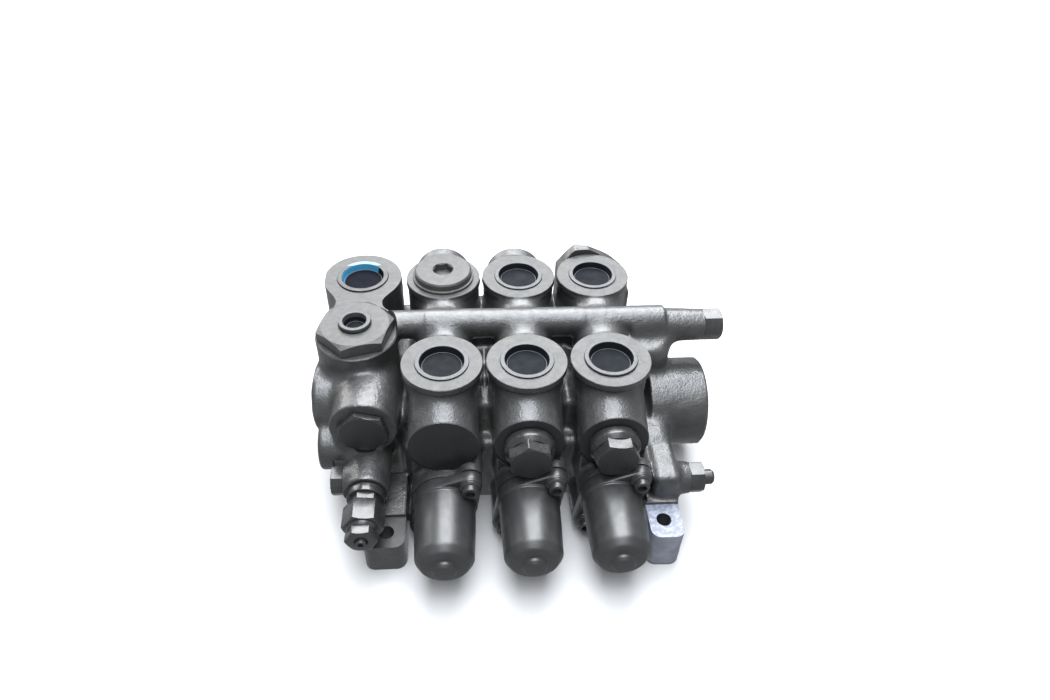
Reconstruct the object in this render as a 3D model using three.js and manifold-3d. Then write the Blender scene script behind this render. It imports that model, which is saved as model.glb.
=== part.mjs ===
// Hydraulic monoblock directional valve: three spool sections and an inlet section in one iron
// casting. Millimetres. X runs along the bank of spools, +Y to the lever side, +Z up. The base is
// z = 0, and the origin lies under the middle spool, below the front row of work ports.
import * as THREE from "three";
import { mergeVertices } from "three/addons/utils/BufferGeometryUtils.js";
import Module from "manifold-3d";

const wasm = await Module();
wasm.setup();

// ---- Driving dimensions ----
const PITCH = 50; // spool to spool
const SECTION_X = [-PITCH, 0, PITCH];
const GAP = 0.3; // between separate pieces that meet

// Work ports, front row and rear row
const PORT_Z = 98; // machined port faces
const FRONT_PORT_Y = 0;
const REAR_PORT_Y = 84;
const RIM = { r: 24, low: 90 }; // turned collar round each port
const TOWER = { r: 22, low: 35, high: 88 };
const PORT = { bore: 13.8, mouth: 16.1, depth: 18, passage: 9 };
const NECK = { z: 77, r: 16 }; // joins a section's two towers

// Spool bores, and the faces the caps and plates sit on
const SPOOL_Z = 29;
const SPOOL_R = 9;
const SPOOL_BORE_R = SPOOL_R + GAP;
const SPOOL_BOSS_R = 19.5;
const FRONT_SEAT_Y = -45;
const REAR_SEAT_Y = 124;

// Load check cavities, above the spools at the front
const CAVITY = { z: 64, bossR: 20, face: -36, bore: 11.3, end: -14, passage: 5.5 };
const FRONT_PLUG = { flats: 23.6, from: -51, to: -41.5, collar: 15, thick: 5.2, end: -28, pocket: 6.2 };
const FRONT_PLUG_TURN = [-0.14, Math.PI / 6 + 0.06]; // sections 2 and 3

// Tank gallery, between the two rows of ports
const GALLERY = { y: 41, z: 93, r: 9.3, bore: 5, from: -95, to: 90 };
const GALLERY_END = { y: 41, z: 88.5, r0: 11.3, r1: 10.1, from: 70, to: 116, bore: 6.8, tapped: 14 };
const GALLERY_PLUG = { flats: 18, end: 128 };

// Inlet section, at the left
const INLET = { x: -103, y: 85, r: 25.2, bore: 14.4, mouth: 16.9, passage: 10, from: 34, flat: -24.6 };
const GAUGE = { x: -102.5, y: 31, r: 24.8, z: 95, bore: 14.1, depth: 17, passage: 9 };
const ADAPTER = { flats: 41.5, top: 103, bore: 8.3, mouth: 10.1, depth: 19, passage: 7, end: 80 };
const INLET_FRONT = { x: -97, z: 65, r: 20, face: -21, recess: 16.2, deep: 6, bore: 11.5, end: -3 };
const INLET_PLUG = { flats: 27, thick: 4, end: -8, turn: Math.PI / 6 + 0.28 };
const LEFT_BOSS = { y: 13, z: 59, r: 20, end: -129 };
const LOW_LEFT_BOSS = { y: -9.5, z: 40, r: 15.5, end: -126 };

// Relief valve, below the inlet's front plug
const RELIEF = { x: -96, z: 37, r: 13.2, face: -46, bore: 9.3, end: -18, turn: 0.65 };
const RELIEF_BODY = { flats: 21, from: -71.5, to: -57, neck: 17, neckEnd: -50, collar: 11, tip: -74 };
const RELIEF_NUT = { flats: 16.5, from: -79.8, to: -74.3, turn: RELIEF.turn - 0.12 };
const RELIEF_SCREW = { r: 3.1, front: -82, plate: 5.9, plateFrom: -57.4, plateTo: -54, key: 1.75 };

// Right end: tank port and the plugs beside it
const TANK = { y: 21, z: 39, r: 28.8, end: 117, bore: 21, mouth: 23.5, depth: 20 };
const SIDE_RIGHT = { y: -40, z: 34, r0: 11.6, r1: 9.4, end: 98, bore: 6.3, depth: 13 };
const PLUG_RIGHT = { flats: 17, end: 107, stud: 4.6, studEnd: 114 };
const SIDE_LEFT = { y: -35.3, z: 36, r0: 10.5, r1: 9.4, end: -109.6, bore: 6.3, depth: 7 };
const PLUG_LEFT = { flats: 16, end: -117 };

// Mounting feet: three x0, x1, tip and root rectangles with a rounded tip, and a hole each
const FOOT_HOLE_R = 4.5;
const FEET = [
  { x0: 70, x1: 90, hole: [79, -66], tip: -78.5, root: -40, top: 28 },
  { x0: -98, x1: -73.5, hole: [-84.5, -63.5], tip: -74, root: -20, top: 22 },
  { x0: 70, x1: 90, hole: [80, 121], tip: 134, root: 100, top: 28 },
  { x0: -114, x1: -90, hole: [-102, 121], tip: 134, root: 100, top: 28 },
];

// Spool caps, rear plates and their screws
const EAR = { dx: 15.1, dz: 18.5, r: 7, web: 24 }; // two diagonal screw ears on each cap and plate
const SCREW = { shank: 3, head: 5, headLength: 5.2, hole: 3.3, socket: 2.9, socketDepth: 3, tapped: 17 };
const CAP = { flange: 6.7, flangeR: 19.5, r: 18, tip: 17, shoulder: -88, end: -94 };
const CAP_BOSS = { r: 7, end: -97 };
const CAP_HOLLOW = { r: 13.5, end: -90, floor: 9, cone: 4 };
const PLATE = { r: 18, thick: 4.7, bore: 8.5 };

// Spool, with its lands, its front bolt and the tongue the lever joins
const SPOOL_LANDS = [[-37, -14], [14, 28], [56, 70], [98, 115]];
const SPOOL_WAIST_R = 6;
const SPOOL_NOSE = { r: 5.2, end: -50, tapped: 3.3, depth: 10 };
const SPOOL_TAIL = { r: 8, shoulder: 138, tipR: 6.5, end: 141 };
const TONGUE = { y: 152, half: 3.5, r: 7.5, eye: 4, from: 139 };
const SPOOL_BOLT = { head: 6.5, end: -82, seat: -77.8, r: 3, tip: -41 };
const INNER_SEAT = { r: 12.5, bore: 6, from: -47.3 };
const OUTER_SEAT = { r: 12, bore: 3.4, from: -77.5, to: -75.5 };
const CENTRING_SPRING = { r: 9.5, wire: 1.3, from: -75.2, to: -47.6, turns: 5 };

// Load check and relief inner parts
const LOAD_POPPET = { r: 7.5, from: -21, rim: -15, nose: 5, tip: 3, end: -11 };
const LOAD_SPRING = { r: 4.6, wire: 0.8, from: -33.6, to: -21.4, turns: 5 };
const RELIEF_POPPET = { stem: 2.6, from: -34, r: 5.8, back: -30.5, front: -27, tip: 1.6, end: -21.5 };
const RELIEF_SPRING = { r: 4.4, wire: 0.9, from: -53.7, to: -30.9, turns: 6 };

// Transit caps pushed into the ports, and the plug in the first rear port
const CAP_DISH = 2.4; // floor below the port face
const CAP_SHEET = 1.2;
const CAP_SKIRT = { length: 12, thick: 0.9, clearance: 0.4 };
const WORK_CAP = { flange: 15.6, inner: 12.7, rise: 1.2 };
const INLET_CAP = { flange: 16.3, inner: 13.3, rise: 1.2 };
const TANK_CAP = { flange: 23, inner: 19.4, rise: 1.5 };
const GAUGE_CAP = { flange: 9.7, inner: 7.2, rise: 2.6 };
const PORT_PLUG = { collar: 20, collarHigh: 1.3, r: 18.5, high: 6, socket: 6.9, deep: 5, length: 14 };

const SIDES = { large: 22, medium: 14, spool: 12, small: 8 };

// ---- Looks ----
const paint = { color: 0x2b2c2e, roughness: 0.42, metalness: 0.25 };
const machined = { color: 0x3b3c3e, roughness: 0.4, metalness: 0.35 };
const steel = { color: 0x8f9296, roughness: 0.32, metalness: 0.9 };
const bluePlastic = { color: 0x2f8fc4, roughness: 0.45, metalness: 0 };

const valve = new THREE.Group();

// ---- Solids ----
// A three.js geometry as a closed manifold-3d solid.
function solid(geometry) {
  const bare = geometry.index ? geometry.clone() : geometry;
  for (const name of ["normal", "uv"]) bare.deleteAttribute(name);
  const merged = mergeVertices(bare, 1e-4);
  const corners = merged.index.array;
  const kept = [];
  for (let i = 0; i < corners.length; i += 3) {
    const [a, b, c] = [corners[i], corners[i + 1], corners[i + 2]];
    if (a !== b && b !== c && c !== a) kept.push(a, b, c);
  }
  const mesh = new wasm.Mesh({
    numProp: 3,
    vertProperties: Float32Array.from(merged.attributes.position.array),
    triVerts: Uint32Array.from(kept),
  });
  return new wasm.Manifold(mesh);
}

// Turns a geometry made about +Y so that it runs along the named axis, about a line through centre.
// centre holds the two other coordinates, in X, Y, Z order.
function placed(axis, centre, geometry) {
  const [a, b] = centre;
  if (axis === "x") return geometry.rotateZ(-Math.PI / 2).translate(0, a, b);
  if (axis === "z") return geometry.rotateX(Math.PI / 2).translate(a, b, 0);
  return geometry.translate(a, 0, b);
}

// A turned solid: profile points are [radius, place along the axis], from the low end to the high.
function turned(axis, centre, profile, sides = SIDES.medium) {
  const points = profile.map(([r, at]) => new THREE.Vector2(r, at));
  return solid(placed(axis, centre, new THREE.LatheGeometry(points, sides)));
}

// A cylinder or cone along an axis.
function round(axis, centre, r0, from, to, sides = SIDES.medium, r1 = r0) {
  return turned(axis, centre, [[0, from], [r0, from], [r1, to], [0, to]], sides);
}

function block(x0, x1, y0, y1, z0, z1) {
  const geometry = new THREE.BoxGeometry(x1 - x0, y1 - y0, z1 - z0);
  return solid(geometry.translate((x0 + x1) / 2, (y0 + y1) / 2, (z0 + z1) / 2));
}

function extruded(shape, depth, curveSegments) {
  return new THREE.ExtrudeGeometry(shape, { depth, bevelEnabled: false, curveSegments });
}

// An outline in X and Z, extruded along Y.
function slab(shape, y0, y1) {
  return solid(extruded(shape, y1 - y0, 8).rotateX(Math.PI / 2).translate(0, y1, 0));
}

// An outline in X and Y, extruded up Z from the base.
function pad(shape, height) {
  return solid(extruded(shape, height, 10));
}

// A hexagon bar with turned chamfers on the ends named. flats is the width across the flats.
function hexBar(axis, centre, flats, from, to, turn, chamfers) {
  const corner = flats / Math.sqrt(3);
  const face = flats / 2;
  const drop = (corner - face) * 0.62;
  const full = corner + 0.1;
  const prism = new THREE.CylinderGeometry(corner, corner, to - from, 6);
  prism.rotateY(turn).translate(0, (from + to) / 2, 0);
  const low = chamfers.includes("low") ? [[face, from], [full, from + drop]] : [[full, from]];
  const high = chamfers.includes("high") ? [[full, to - drop], [face, to]] : [[full, to]];
  const cone = turned(axis, centre, [[0, from], ...low, ...high, [0, to]]);
  return solid(placed(axis, centre, prism)).intersect(cone);
}

// A six-sided key socket.
function keyHole(axis, centre, corner, from, to) {
  const key = new THREE.CylinderGeometry(corner, corner, to - from, 6);
  return solid(placed(axis, centre, key.translate(0, (from + to) / 2, 0)));
}

function washer(axis, centre, r, bore, from, to) {
  return round(axis, centre, r, from, to, SIDES.small)
    .subtract(round(axis, centre, bore, from - 1, to + 1, SIDES.small));
}

// A coil spring along Y.
function coil(x, z, spring) {
  const steps = spring.turns * 6;
  const low = spring.from + spring.wire;
  const rise = spring.to - spring.from - 2 * spring.wire;
  const points = [];
  for (let i = 0; i <= steps; i++) {
    const angle = (i / steps) * spring.turns * 2 * Math.PI;
    const across = spring.r * Math.cos(angle);
    const up = spring.r * Math.sin(angle);
    points.push(new THREE.Vector3(x + across, low + (rise * i) / steps, z + up));
  }
  const section = new THREE.Shape().absarc(0, 0, spring.wire, 0, 2 * Math.PI);
  const extrudePath = new THREE.CatmullRomCurve3(points);
  const options = { steps, curveSegments: 2, bevelEnabled: false, extrudePath };
  return solid(new THREE.ExtrudeGeometry(section, options));
}

function joined(...solids) {
  return solids.reduce((all, next) => all.add(next));
}

function cut(base, ...tools) {
  return tools.reduce((all, tool) => all.subtract(tool), base);
}

function addPiece(name, made, look) {
  const mesh = made.getMesh();
  const geometry = new THREE.BufferGeometry();
  geometry.setAttribute("position", new THREE.BufferAttribute(mesh.vertProperties, 3));
  geometry.setIndex(new THREE.BufferAttribute(mesh.triVerts, 1));
  geometry.computeVertexNormals();
  const piece = new THREE.Mesh(geometry, new THREE.MeshStandardMaterial(look));
  piece.name = name;
  valve.add(piece);
}

// ---- Shared outlines ----
function earPlaces(x) {
  return [[x + EAR.dx, SPOOL_Z + EAR.dz], [x - EAR.dx, SPOOL_Z - EAR.dz]];
}

// A round flange with two diagonal screw ears, about a spool's axis.
function earedSolid(x, r, y0, y1) {
  const ears = earPlaces(x).map(([ex, ez]) => {
    const web = new THREE.BoxGeometry(2 * EAR.r, y1 - y0, EAR.web);
    web.rotateY(Math.atan2(ex - x, ez - SPOOL_Z));
    web.translate((x + ex) / 2, (y0 + y1) / 2, (SPOOL_Z + ez) / 2);
    return joined(round("y", [ex, ez], EAR.r, y0, y1, SIDES.small), solid(web));
  });
  return joined(round("y", [x, SPOOL_Z], r, y0, y1), ...ears);
}

function earHoles(x, y0, y1) {
  return earPlaces(x).map((ear) => round("y", ear, SCREW.hole, y0, y1, SIDES.small));
}

// ---- Casting ----
function towerBlank(x, y) {
  const profile = [
    [0, TOWER.low],
    [TOWER.r, TOWER.low],
    [TOWER.r, TOWER.high],
    [RIM.r, RIM.low],
    [RIM.r, PORT_Z],
    [0, PORT_Z],
  ];
  return turned("z", [x, y], profile, SIDES.large);
}

function sectionBlank(x, number) {
  return joined(
    towerBlank(x, FRONT_PORT_Y),
    towerBlank(x, REAR_PORT_Y),
    round("y", [x, NECK.z], NECK.r, FRONT_PORT_Y, REAR_PORT_Y),
    round("y", [x, CAVITY.z], CAVITY.bossR, CAVITY.face, 10, SIDES.large),
    block(x - 19, x + 19, CAVITY.face, -15, SPOOL_Z, CAVITY.z),
    earedSolid(x, SPOOL_BOSS_R, FRONT_SEAT_Y, -15),
    earedSolid(x, SPOOL_BOSS_R, 96, REAR_SEAT_Y),
    rearHump(number),
  );
}

// The rear cavity bosses differ: two are round, and the right one is an angular, sloping shoulder.
function rearHump(number) {
  if (number === 1) return round("y", [-51, 79], 18.7, 80, 119, SIDES.large);
  if (number === 2) return round("y", [1, 77.5], 19.4, 80, 119, SIDES.large);
  const outline = [
    [29, 55], [29, 80], [33, 91], [38, 95.5], [43, 97.4], [49, 96], [61, 88], [73, 77], [73, 55],
  ];
  return slab(new THREE.Shape(outline.map(([x, z]) => new THREE.Vector2(x, z))), 80, 115);
}

function galleryBlank() {
  const end = GALLERY_END;
  return joined(
    round("x", [GALLERY.y, GALLERY.z], GALLERY.r, GALLERY.from, GALLERY.to),
    round("x", [end.y, end.z], end.r0, end.from, end.to, SIDES.medium, end.r1),
    round("z", [78, 36], 17, 40, 88),
    block(60, 90, 20, 52, 40, 84),
  );
}

function inletBlank() {
  const inlet = [INLET.x, INLET.y];
  const outside = INLET.x + INLET.flat;
  const flat = block(outside - 15, outside, INLET.y - 40, INLET.y + 40, 60, PORT_Z + 1);
  const boss = LEFT_BOSS;
  const low = LOW_LEFT_BOSS;
  const front = INLET_FRONT;
  const side = SIDE_LEFT;
  return joined(
    cut(round("z", inlet, INLET.r, INLET.from, PORT_Z, SIDES.large), flat),
    round("z", [GAUGE.x, GAUGE.y], GAUGE.r, 0, GAUGE.z, SIDES.large),
    block(-117, -89, 40, 70, 50, PORT_Z),
    block(-122, -70, -8, 106, 0, 60),
    round("y", [front.x, front.z], front.r, front.face, 20, SIDES.large),
    round("x", [boss.y, boss.z], boss.r, boss.end, -100, SIDES.large),
    round("x", [low.y, low.z], low.r, low.end, -100),
    round("y", [RELIEF.x, RELIEF.z], RELIEF.r, RELIEF.face, 0),
    round("x", [side.y, side.z], side.r1, side.end, RELIEF.x, SIDES.small, side.r0),
  );
}

// A foot with a rounded tip, toward the front or toward the rear.
function footBlank(foot) {
  const { tip, root } = foot;
  const [x0, x1] = tip < root ? [foot.x0, foot.x1] : [foot.x1, foot.x0];
  const middle = (x0 + x1) / 2;
  const shoulder = tip + Math.sign(root - tip) * Math.abs(x1 - x0) * 0.36;
  const shape = new THREE.Shape();
  shape.moveTo(x1, root).lineTo(x0, root).lineTo(x0, shoulder);
  shape.quadraticCurveTo(x0, tip, middle, tip).quadraticCurveTo(x1, tip, x1, shoulder);
  return pad(shape, foot.top);
}

function rightEndBlank() {
  const side = SIDE_RIGHT;
  return joined(
    block(74, 90, -52, 106, 0, 48),
    block(60, 90, -15, 106, 0, 48),
    round("x", [TANK.y, TANK.z], TANK.r, 80, TANK.end, SIDES.large),
    round("x", [side.y, side.z], side.r0, 80, side.end, SIDES.small, side.r1),
  );
}

// A 45 degree countersink at the mouth of a port whose face is at the place given.
function mouth(axis, centre, bore, wide, face) {
  const low = face - (wide - bore);
  const profile = [[0, low], [bore, low], [wide, face], [wide, face + 1], [0, face + 1]];
  return turned(axis, centre, profile, SIDES.large);
}

function workPortBores(x, y) {
  const floor = PORT_Z - PORT.depth;
  return [
    round("z", [x, y], RIM.r + 0.4, PORT_Z, PORT_Z + 9, SIDES.large),
    round("z", [x, y], PORT.bore, floor, PORT_Z),
    mouth("z", [x, y], PORT.bore, PORT.mouth, PORT_Z),
    round("z", [x, y], PORT.passage, SPOOL_Z, floor + 1, SIDES.small),
  ];
}

function sectionBores(x, number) {
  const spool = round("y", [x, SPOOL_Z], SPOOL_BORE_R, FRONT_SEAT_Y - 1, REAR_SEAT_Y + 1);
  const cavity = [
    round("y", [x, CAVITY.z], CAVITY.bore, CAVITY.face - 1, CAVITY.end),
    round("y", [x, CAVITY.z], CAVITY.passage, CAVITY.end - 1, FRONT_PORT_Y, SIDES.small),
  ];
  return [
    spool,
    ...workPortBores(x, FRONT_PORT_Y),
    ...workPortBores(x, REAR_PORT_Y),
    ...(number > 1 ? cavity : []),
    ...earHoles(x, FRONT_SEAT_Y - 1, FRONT_SEAT_Y + SCREW.tapped),
    ...earHoles(x, REAR_SEAT_Y - SCREW.tapped, REAR_SEAT_Y + 1),
  ];
}

function galleryBores() {
  const end = GALLERY_END;
  return [
    round("x", [end.y, end.z], GALLERY.bore, INLET.x + 1, end.to, SIDES.small),
    round("x", [end.y, end.z], end.bore, end.to - end.tapped, end.to + 1, SIDES.small),
  ];
}

function inletBores() {
  const inlet = [INLET.x, INLET.y];
  const gauge = [GAUGE.x, GAUGE.y];
  const cavity = [INLET_FRONT.x, INLET_FRONT.z];
  const relief = [RELIEF.x, RELIEF.z];
  const front = INLET_FRONT;
  const floor = PORT_Z - PORT.depth;
  return [
    round("z", inlet, INLET.bore, floor, PORT_Z),
    mouth("z", inlet, INLET.bore, INLET.mouth, PORT_Z),
    round("z", inlet, INLET.passage, CAVITY.z, floor + 1, SIDES.small),
    round("y", [INLET.x, CAVITY.z], 9, GAUGE.y, INLET.y, SIDES.small),
    round("z", gauge, GAUGE.r + GAP, GAUGE.z, GAUGE.z + 10, SIDES.large),
    round("z", gauge, GAUGE.bore, GAUGE.z - GAUGE.depth, GAUGE.z + 1),
    round("z", gauge, GAUGE.passage, RELIEF.z, GAUGE.z - GAUGE.depth + 1, SIDES.small),
    round("y", cavity, front.recess, front.face - front.deep, front.face),
    round("y", cavity, front.bore, front.face - 1, front.end),
    round("y", cavity, 7, front.end - 1, GAUGE.y, SIDES.small),
    round("y", relief, RELIEF.bore, RELIEF.face - 1, RELIEF.end),
    round("y", relief, 5, RELIEF.end - 1, GAUGE.y, SIDES.small),
  ];
}

function endBores() {
  const tank = [TANK.y, TANK.z];
  const right = SIDE_RIGHT;
  const left = SIDE_LEFT;
  return [
    round("x", tank, TANK.bore, TANK.end - TANK.depth, TANK.end, SIDES.large),
    mouth("x", tank, TANK.bore, TANK.mouth, TANK.end),
    round("x", [right.y, right.z], right.bore, right.end - right.depth, right.end + 1, SIDES.small),
    round("x", [left.y, left.z], left.bore, left.end - 1, left.end + left.depth, SIDES.small),
  ];
}

function footHoles() {
  return FEET.map(({ hole, top }) => round("z", hole, FOOT_HOLE_R, -1, top + 1, SIDES.small));
}

function addBody() {
  const blank = joined(
    block(-76, 88, -22, 106, 0, 50),
    ...SECTION_X.map((x, i) => sectionBlank(x, i + 1)),
    galleryBlank(),
    inletBlank(),
    rightEndBlank(),
    ...FEET.map(footBlank),
  );
  const bores = [
    ...SECTION_X.flatMap((x, i) => sectionBores(x, i + 1)),
    ...galleryBores(),
    ...inletBores(),
    ...endBores(),
    ...footHoles(),
  ];
  addPiece("valve_body", cut(blank, ...bores), paint);
}

// ---- Spools and what centres them ----
function spoolProfile() {
  const first = SPOOL_LANDS[0][0];
  const lands = SPOOL_LANDS.slice(1, -1).flatMap(([from, to]) => [
    [SPOOL_WAIST_R, from - 1], [SPOOL_R, from], [SPOOL_R, to], [SPOOL_WAIST_R, to + 1],
  ]);
  const [lastFrom, lastTo] = SPOOL_LANDS.at(-1);
  return [
    [0, SPOOL_NOSE.end], [SPOOL_NOSE.r, SPOOL_NOSE.end], [SPOOL_NOSE.r, first],
    [SPOOL_R, first], [SPOOL_R, SPOOL_LANDS[0][1]], [SPOOL_WAIST_R, SPOOL_LANDS[0][1] + 1],
    ...lands,
    [SPOOL_WAIST_R, lastFrom - 1], [SPOOL_R, lastFrom], [SPOOL_R, lastTo],
    [SPOOL_TAIL.r, lastTo], [SPOOL_TAIL.r, SPOOL_TAIL.shoulder],
    [SPOOL_TAIL.tipR, SPOOL_TAIL.end], [0, SPOOL_TAIL.end],
  ];
}

function addSpool(x, number) {
  const at = [x, SPOOL_Z];
  const { y, half, r, eye, from } = TONGUE;
  const nose = SPOOL_NOSE;
  const tongue = joined(
    block(x - half, x + half, from, y, SPOOL_Z - r, SPOOL_Z + r),
    round("x", [y, SPOOL_Z], r, x - half, x + half, SIDES.small),
  );
  const made = cut(
    joined(turned("y", at, spoolProfile(), SIDES.spool), tongue),
    round("x", [y, SPOOL_Z], eye, x - 10, x + 10, SIDES.small),
    round("y", at, nose.tapped, nose.end - 1, nose.end + nose.depth, SIDES.small),
  );
  addPiece(`spool_${number}`, made, steel);
}

function addSpoolBolt(x, number) {
  const { head, end, seat, r, tip } = SPOOL_BOLT;
  const profile = [[0, end], [head, end], [head, seat], [r, seat], [r, tip], [0, tip]];
  addPiece(`spool_bolt_${number}`, turned("y", [x, SPOOL_Z], profile, SIDES.small), steel);
}

function addCentring(x, number) {
  const at = [x, SPOOL_Z];
  const inner = washer("y", at, INNER_SEAT.r, INNER_SEAT.bore, INNER_SEAT.from, FRONT_SEAT_Y - GAP);
  const outer = washer("y", at, OUTER_SEAT.r, OUTER_SEAT.bore, OUTER_SEAT.from, OUTER_SEAT.to);
  addPiece(`spring_seat_inner_${number}`, inner, steel);
  addPiece(`spring_seat_outer_${number}`, outer, steel);
  addPiece(`centring_spring_${number}`, coil(x, SPOOL_Z, CENTRING_SPRING), steel);
}

function capOutside(at, back, front) {
  const profile = [
    [0, CAP_BOSS.end],
    [CAP_BOSS.r - 1, CAP_BOSS.end],
    [CAP_BOSS.r, CAP_BOSS.end + 1],
    [CAP_BOSS.r, CAP.end],
    [CAP.tip - 5, CAP.end],
    [CAP.tip - 1.5, CAP.end + 2],
    [CAP.tip, CAP.shoulder],
    [CAP.r, front + 1],
    [CAP.r, back],
    [0, back],
  ];
  return turned("y", at, profile, SIDES.large);
}

function capHollow(at) {
  const { r, end, floor, cone } = CAP_HOLLOW;
  const open = FRONT_SEAT_Y + 1;
  return turned("y", at, [[0, end], [floor, end], [r, end + cone], [r, open], [0, open]]);
}

function addCap(x, number) {
  const at = [x, SPOOL_Z];
  const back = FRONT_SEAT_Y - GAP;
  const front = back - CAP.flange;
  const made = cut(
    joined(capOutside(at, back, front), earedSolid(x, CAP.flangeR, front, back)),
    capHollow(at),
    ...earHoles(x, front - 1, back + 1),
  );
  addPiece(`spool_cap_${number}`, made, paint);
  earPlaces(x).forEach((ear, i) => {
    const fastener = screw(ear, front - GAP, -1, FRONT_SEAT_Y + 14);
    addPiece(`cap_${number}_screw_${i + 1}`, fastener, steel);
  });
}

// A socket head screw along Y. seat is where the head rests; way is -1 for a head to the front.
function screw(at, seat, way, tip) {
  const ordered = (a, b) => [Math.min(a, b), Math.max(a, b)];
  const head = seat + way * SCREW.headLength;
  const socket = ordered(head + way, head - way * SCREW.socketDepth);
  const blank = joined(
    round("y", at, SCREW.head, ...ordered(head, seat), SIDES.spool),
    round("y", at, SCREW.shank, ...ordered(seat + way, tip), SIDES.small),
  );
  return cut(blank, keyHole("y", at, SCREW.socket, ...socket));
}

function addRearPlate(x, number) {
  const y0 = REAR_SEAT_Y + GAP;
  const y1 = y0 + PLATE.thick;
  const made = cut(
    earedSolid(x, PLATE.r, y0, y1),
    round("y", [x, SPOOL_Z], PLATE.bore, y0 - 1, y1 + 1),
    ...earHoles(x, y0 - 1, y1 + 1),
  );
  addPiece(`rear_plate_${number}`, made, paint);
  earPlaces(x).forEach((ear, i) => {
    const fastener = screw(ear, y1 + GAP, 1, REAR_SEAT_Y - 12);
    addPiece(`rear_${number}_screw_${i + 1}`, fastener, steel);
  });
}

// ---- Front cavities ----
function addFrontPlug(x, number, turn) {
  const at = [x, CAVITY.z];
  const seat = CAVITY.face - GAP;
  const plug = FRONT_PLUG;
  const blank = joined(
    hexBar("y", at, plug.flats, plug.from, plug.to, turn, ["low"]),
    round("y", at, plug.collar, seat - plug.thick, seat, SIDES.large),
    round("y", at, CAVITY.bore - GAP, seat - 1, plug.end),
  );
  const pocket = round("y", at, plug.pocket, plug.end - 6, plug.end + 1, SIDES.small);
  addPiece(`front_plug_${number}`, cut(blank, pocket), machined);
}

function addLoadCheck(x, number) {
  const at = [x, CAVITY.z];
  const { r, from, rim, nose, tip, end } = LOAD_POPPET;
  const profile = [[0, from], [r, from], [r, rim], [nose, rim + 0.4], [tip, end], [0, end]];
  addPiece(`load_check_poppet_${number}`, turned("y", at, profile, SIDES.small), steel);
  addPiece(`load_check_spring_${number}`, coil(x, CAVITY.z, LOAD_SPRING), steel);
}

// ---- Port caps and plugs ----
// A push-in transit cap: a thin flange, a dished floor and a skirt down the port.
function portCap(axis, at, face, bore, cap) {
  const skirt = bore - CAP_SKIRT.clearance;
  const profile = [
    [0, -CAP_DISH - CAP_SHEET],
    [skirt - CAP_SKIRT.thick, -CAP_DISH - CAP_SHEET],
    [skirt - CAP_SKIRT.thick, -CAP_SKIRT.length],
    [skirt, -CAP_SKIRT.length],
    [skirt, GAP],
    [cap.flange, GAP],
    [cap.flange, cap.rise],
    [cap.inner, cap.rise],
    [cap.inner, -CAP_DISH],
    [0, -CAP_DISH],
  ];
  return turned(axis, at, profile.map(([r, along]) => [r, face + along]), SIDES.large);
}

function addPortCaps() {
  const workCap = (x, y) => portCap("z", [x, y], PORT_Z, PORT.bore, WORK_CAP);
  SECTION_X.forEach((x, i) => {
    addPiece(`port_cap_front_${i + 1}`, workCap(x, FRONT_PORT_Y), machined);
  });
  SECTION_X.slice(1).forEach((x, i) => {
    addPiece(`port_cap_rear_${i + 2}`, workCap(x, REAR_PORT_Y), machined);
  });
  const inlet = portCap("z", [INLET.x, INLET.y], PORT_Z, INLET.bore, INLET_CAP);
  const gauge = portCap("z", [GAUGE.x, GAUGE.y], ADAPTER.top, ADAPTER.bore, GAUGE_CAP);
  const tank = portCap("x", [TANK.y, TANK.z], TANK.end, TANK.bore, TANK_CAP);
  addPiece("port_cap_inlet", inlet, bluePlastic);
  addPiece("port_cap_gauge", gauge, machined);
  addPiece("port_cap_tank", tank, machined);
}

function addGaugeAdapter() {
  const at = [GAUGE.x, GAUGE.y];
  const { flats, top, end } = ADAPTER;
  const floor = top - ADAPTER.depth;
  const blank = joined(
    hexBar("z", at, flats, GAUGE.z + GAP, top, -Math.PI / 12, ["high"]),
    round("z", at, GAUGE.bore - GAP, end, GAUGE.z + 1),
  );
  const made = cut(
    blank,
    round("z", at, ADAPTER.bore, floor, top),
    mouth("z", at, ADAPTER.bore, ADAPTER.mouth, top),
    round("z", at, ADAPTER.passage, end - 1, floor + 1),
  );
  addPiece("gauge_adapter", made, machined);
}

function addRearPortPlug() {
  const at = [SECTION_X[0], REAR_PORT_Y];
  const base = PORT_Z + GAP;
  const stem = PORT.bore - 0.5;
  const { collar, collarHigh, r, high, socket, deep, length } = PORT_PLUG;
  const profile = [
    [0, base - length],
    [stem, base - length],
    [stem, base],
    [collar, base],
    [collar, base + collarHigh],
    [r, base + collarHigh],
    [r, base + high - 0.6],
    [r - 0.7, base + high],
    [0, base + high],
  ];
  const key = keyHole("z", at, socket, base + high - deep, base + high + 3);
  addPiece("port_plug_rear_1", cut(turned("z", at, profile, SIDES.large), key), machined);
}

// A hexagon plug at the right end of the casting, with its thread in the bore behind the face.
function rightPlug(at, place, plug, inside) {
  return joined(
    hexBar("x", at, plug.flats, place + GAP, plug.end, Math.PI / 6, ["high"]),
    round("x", at, inside.r, place - inside.length, place + 1, SIDES.small),
  );
}

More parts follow.
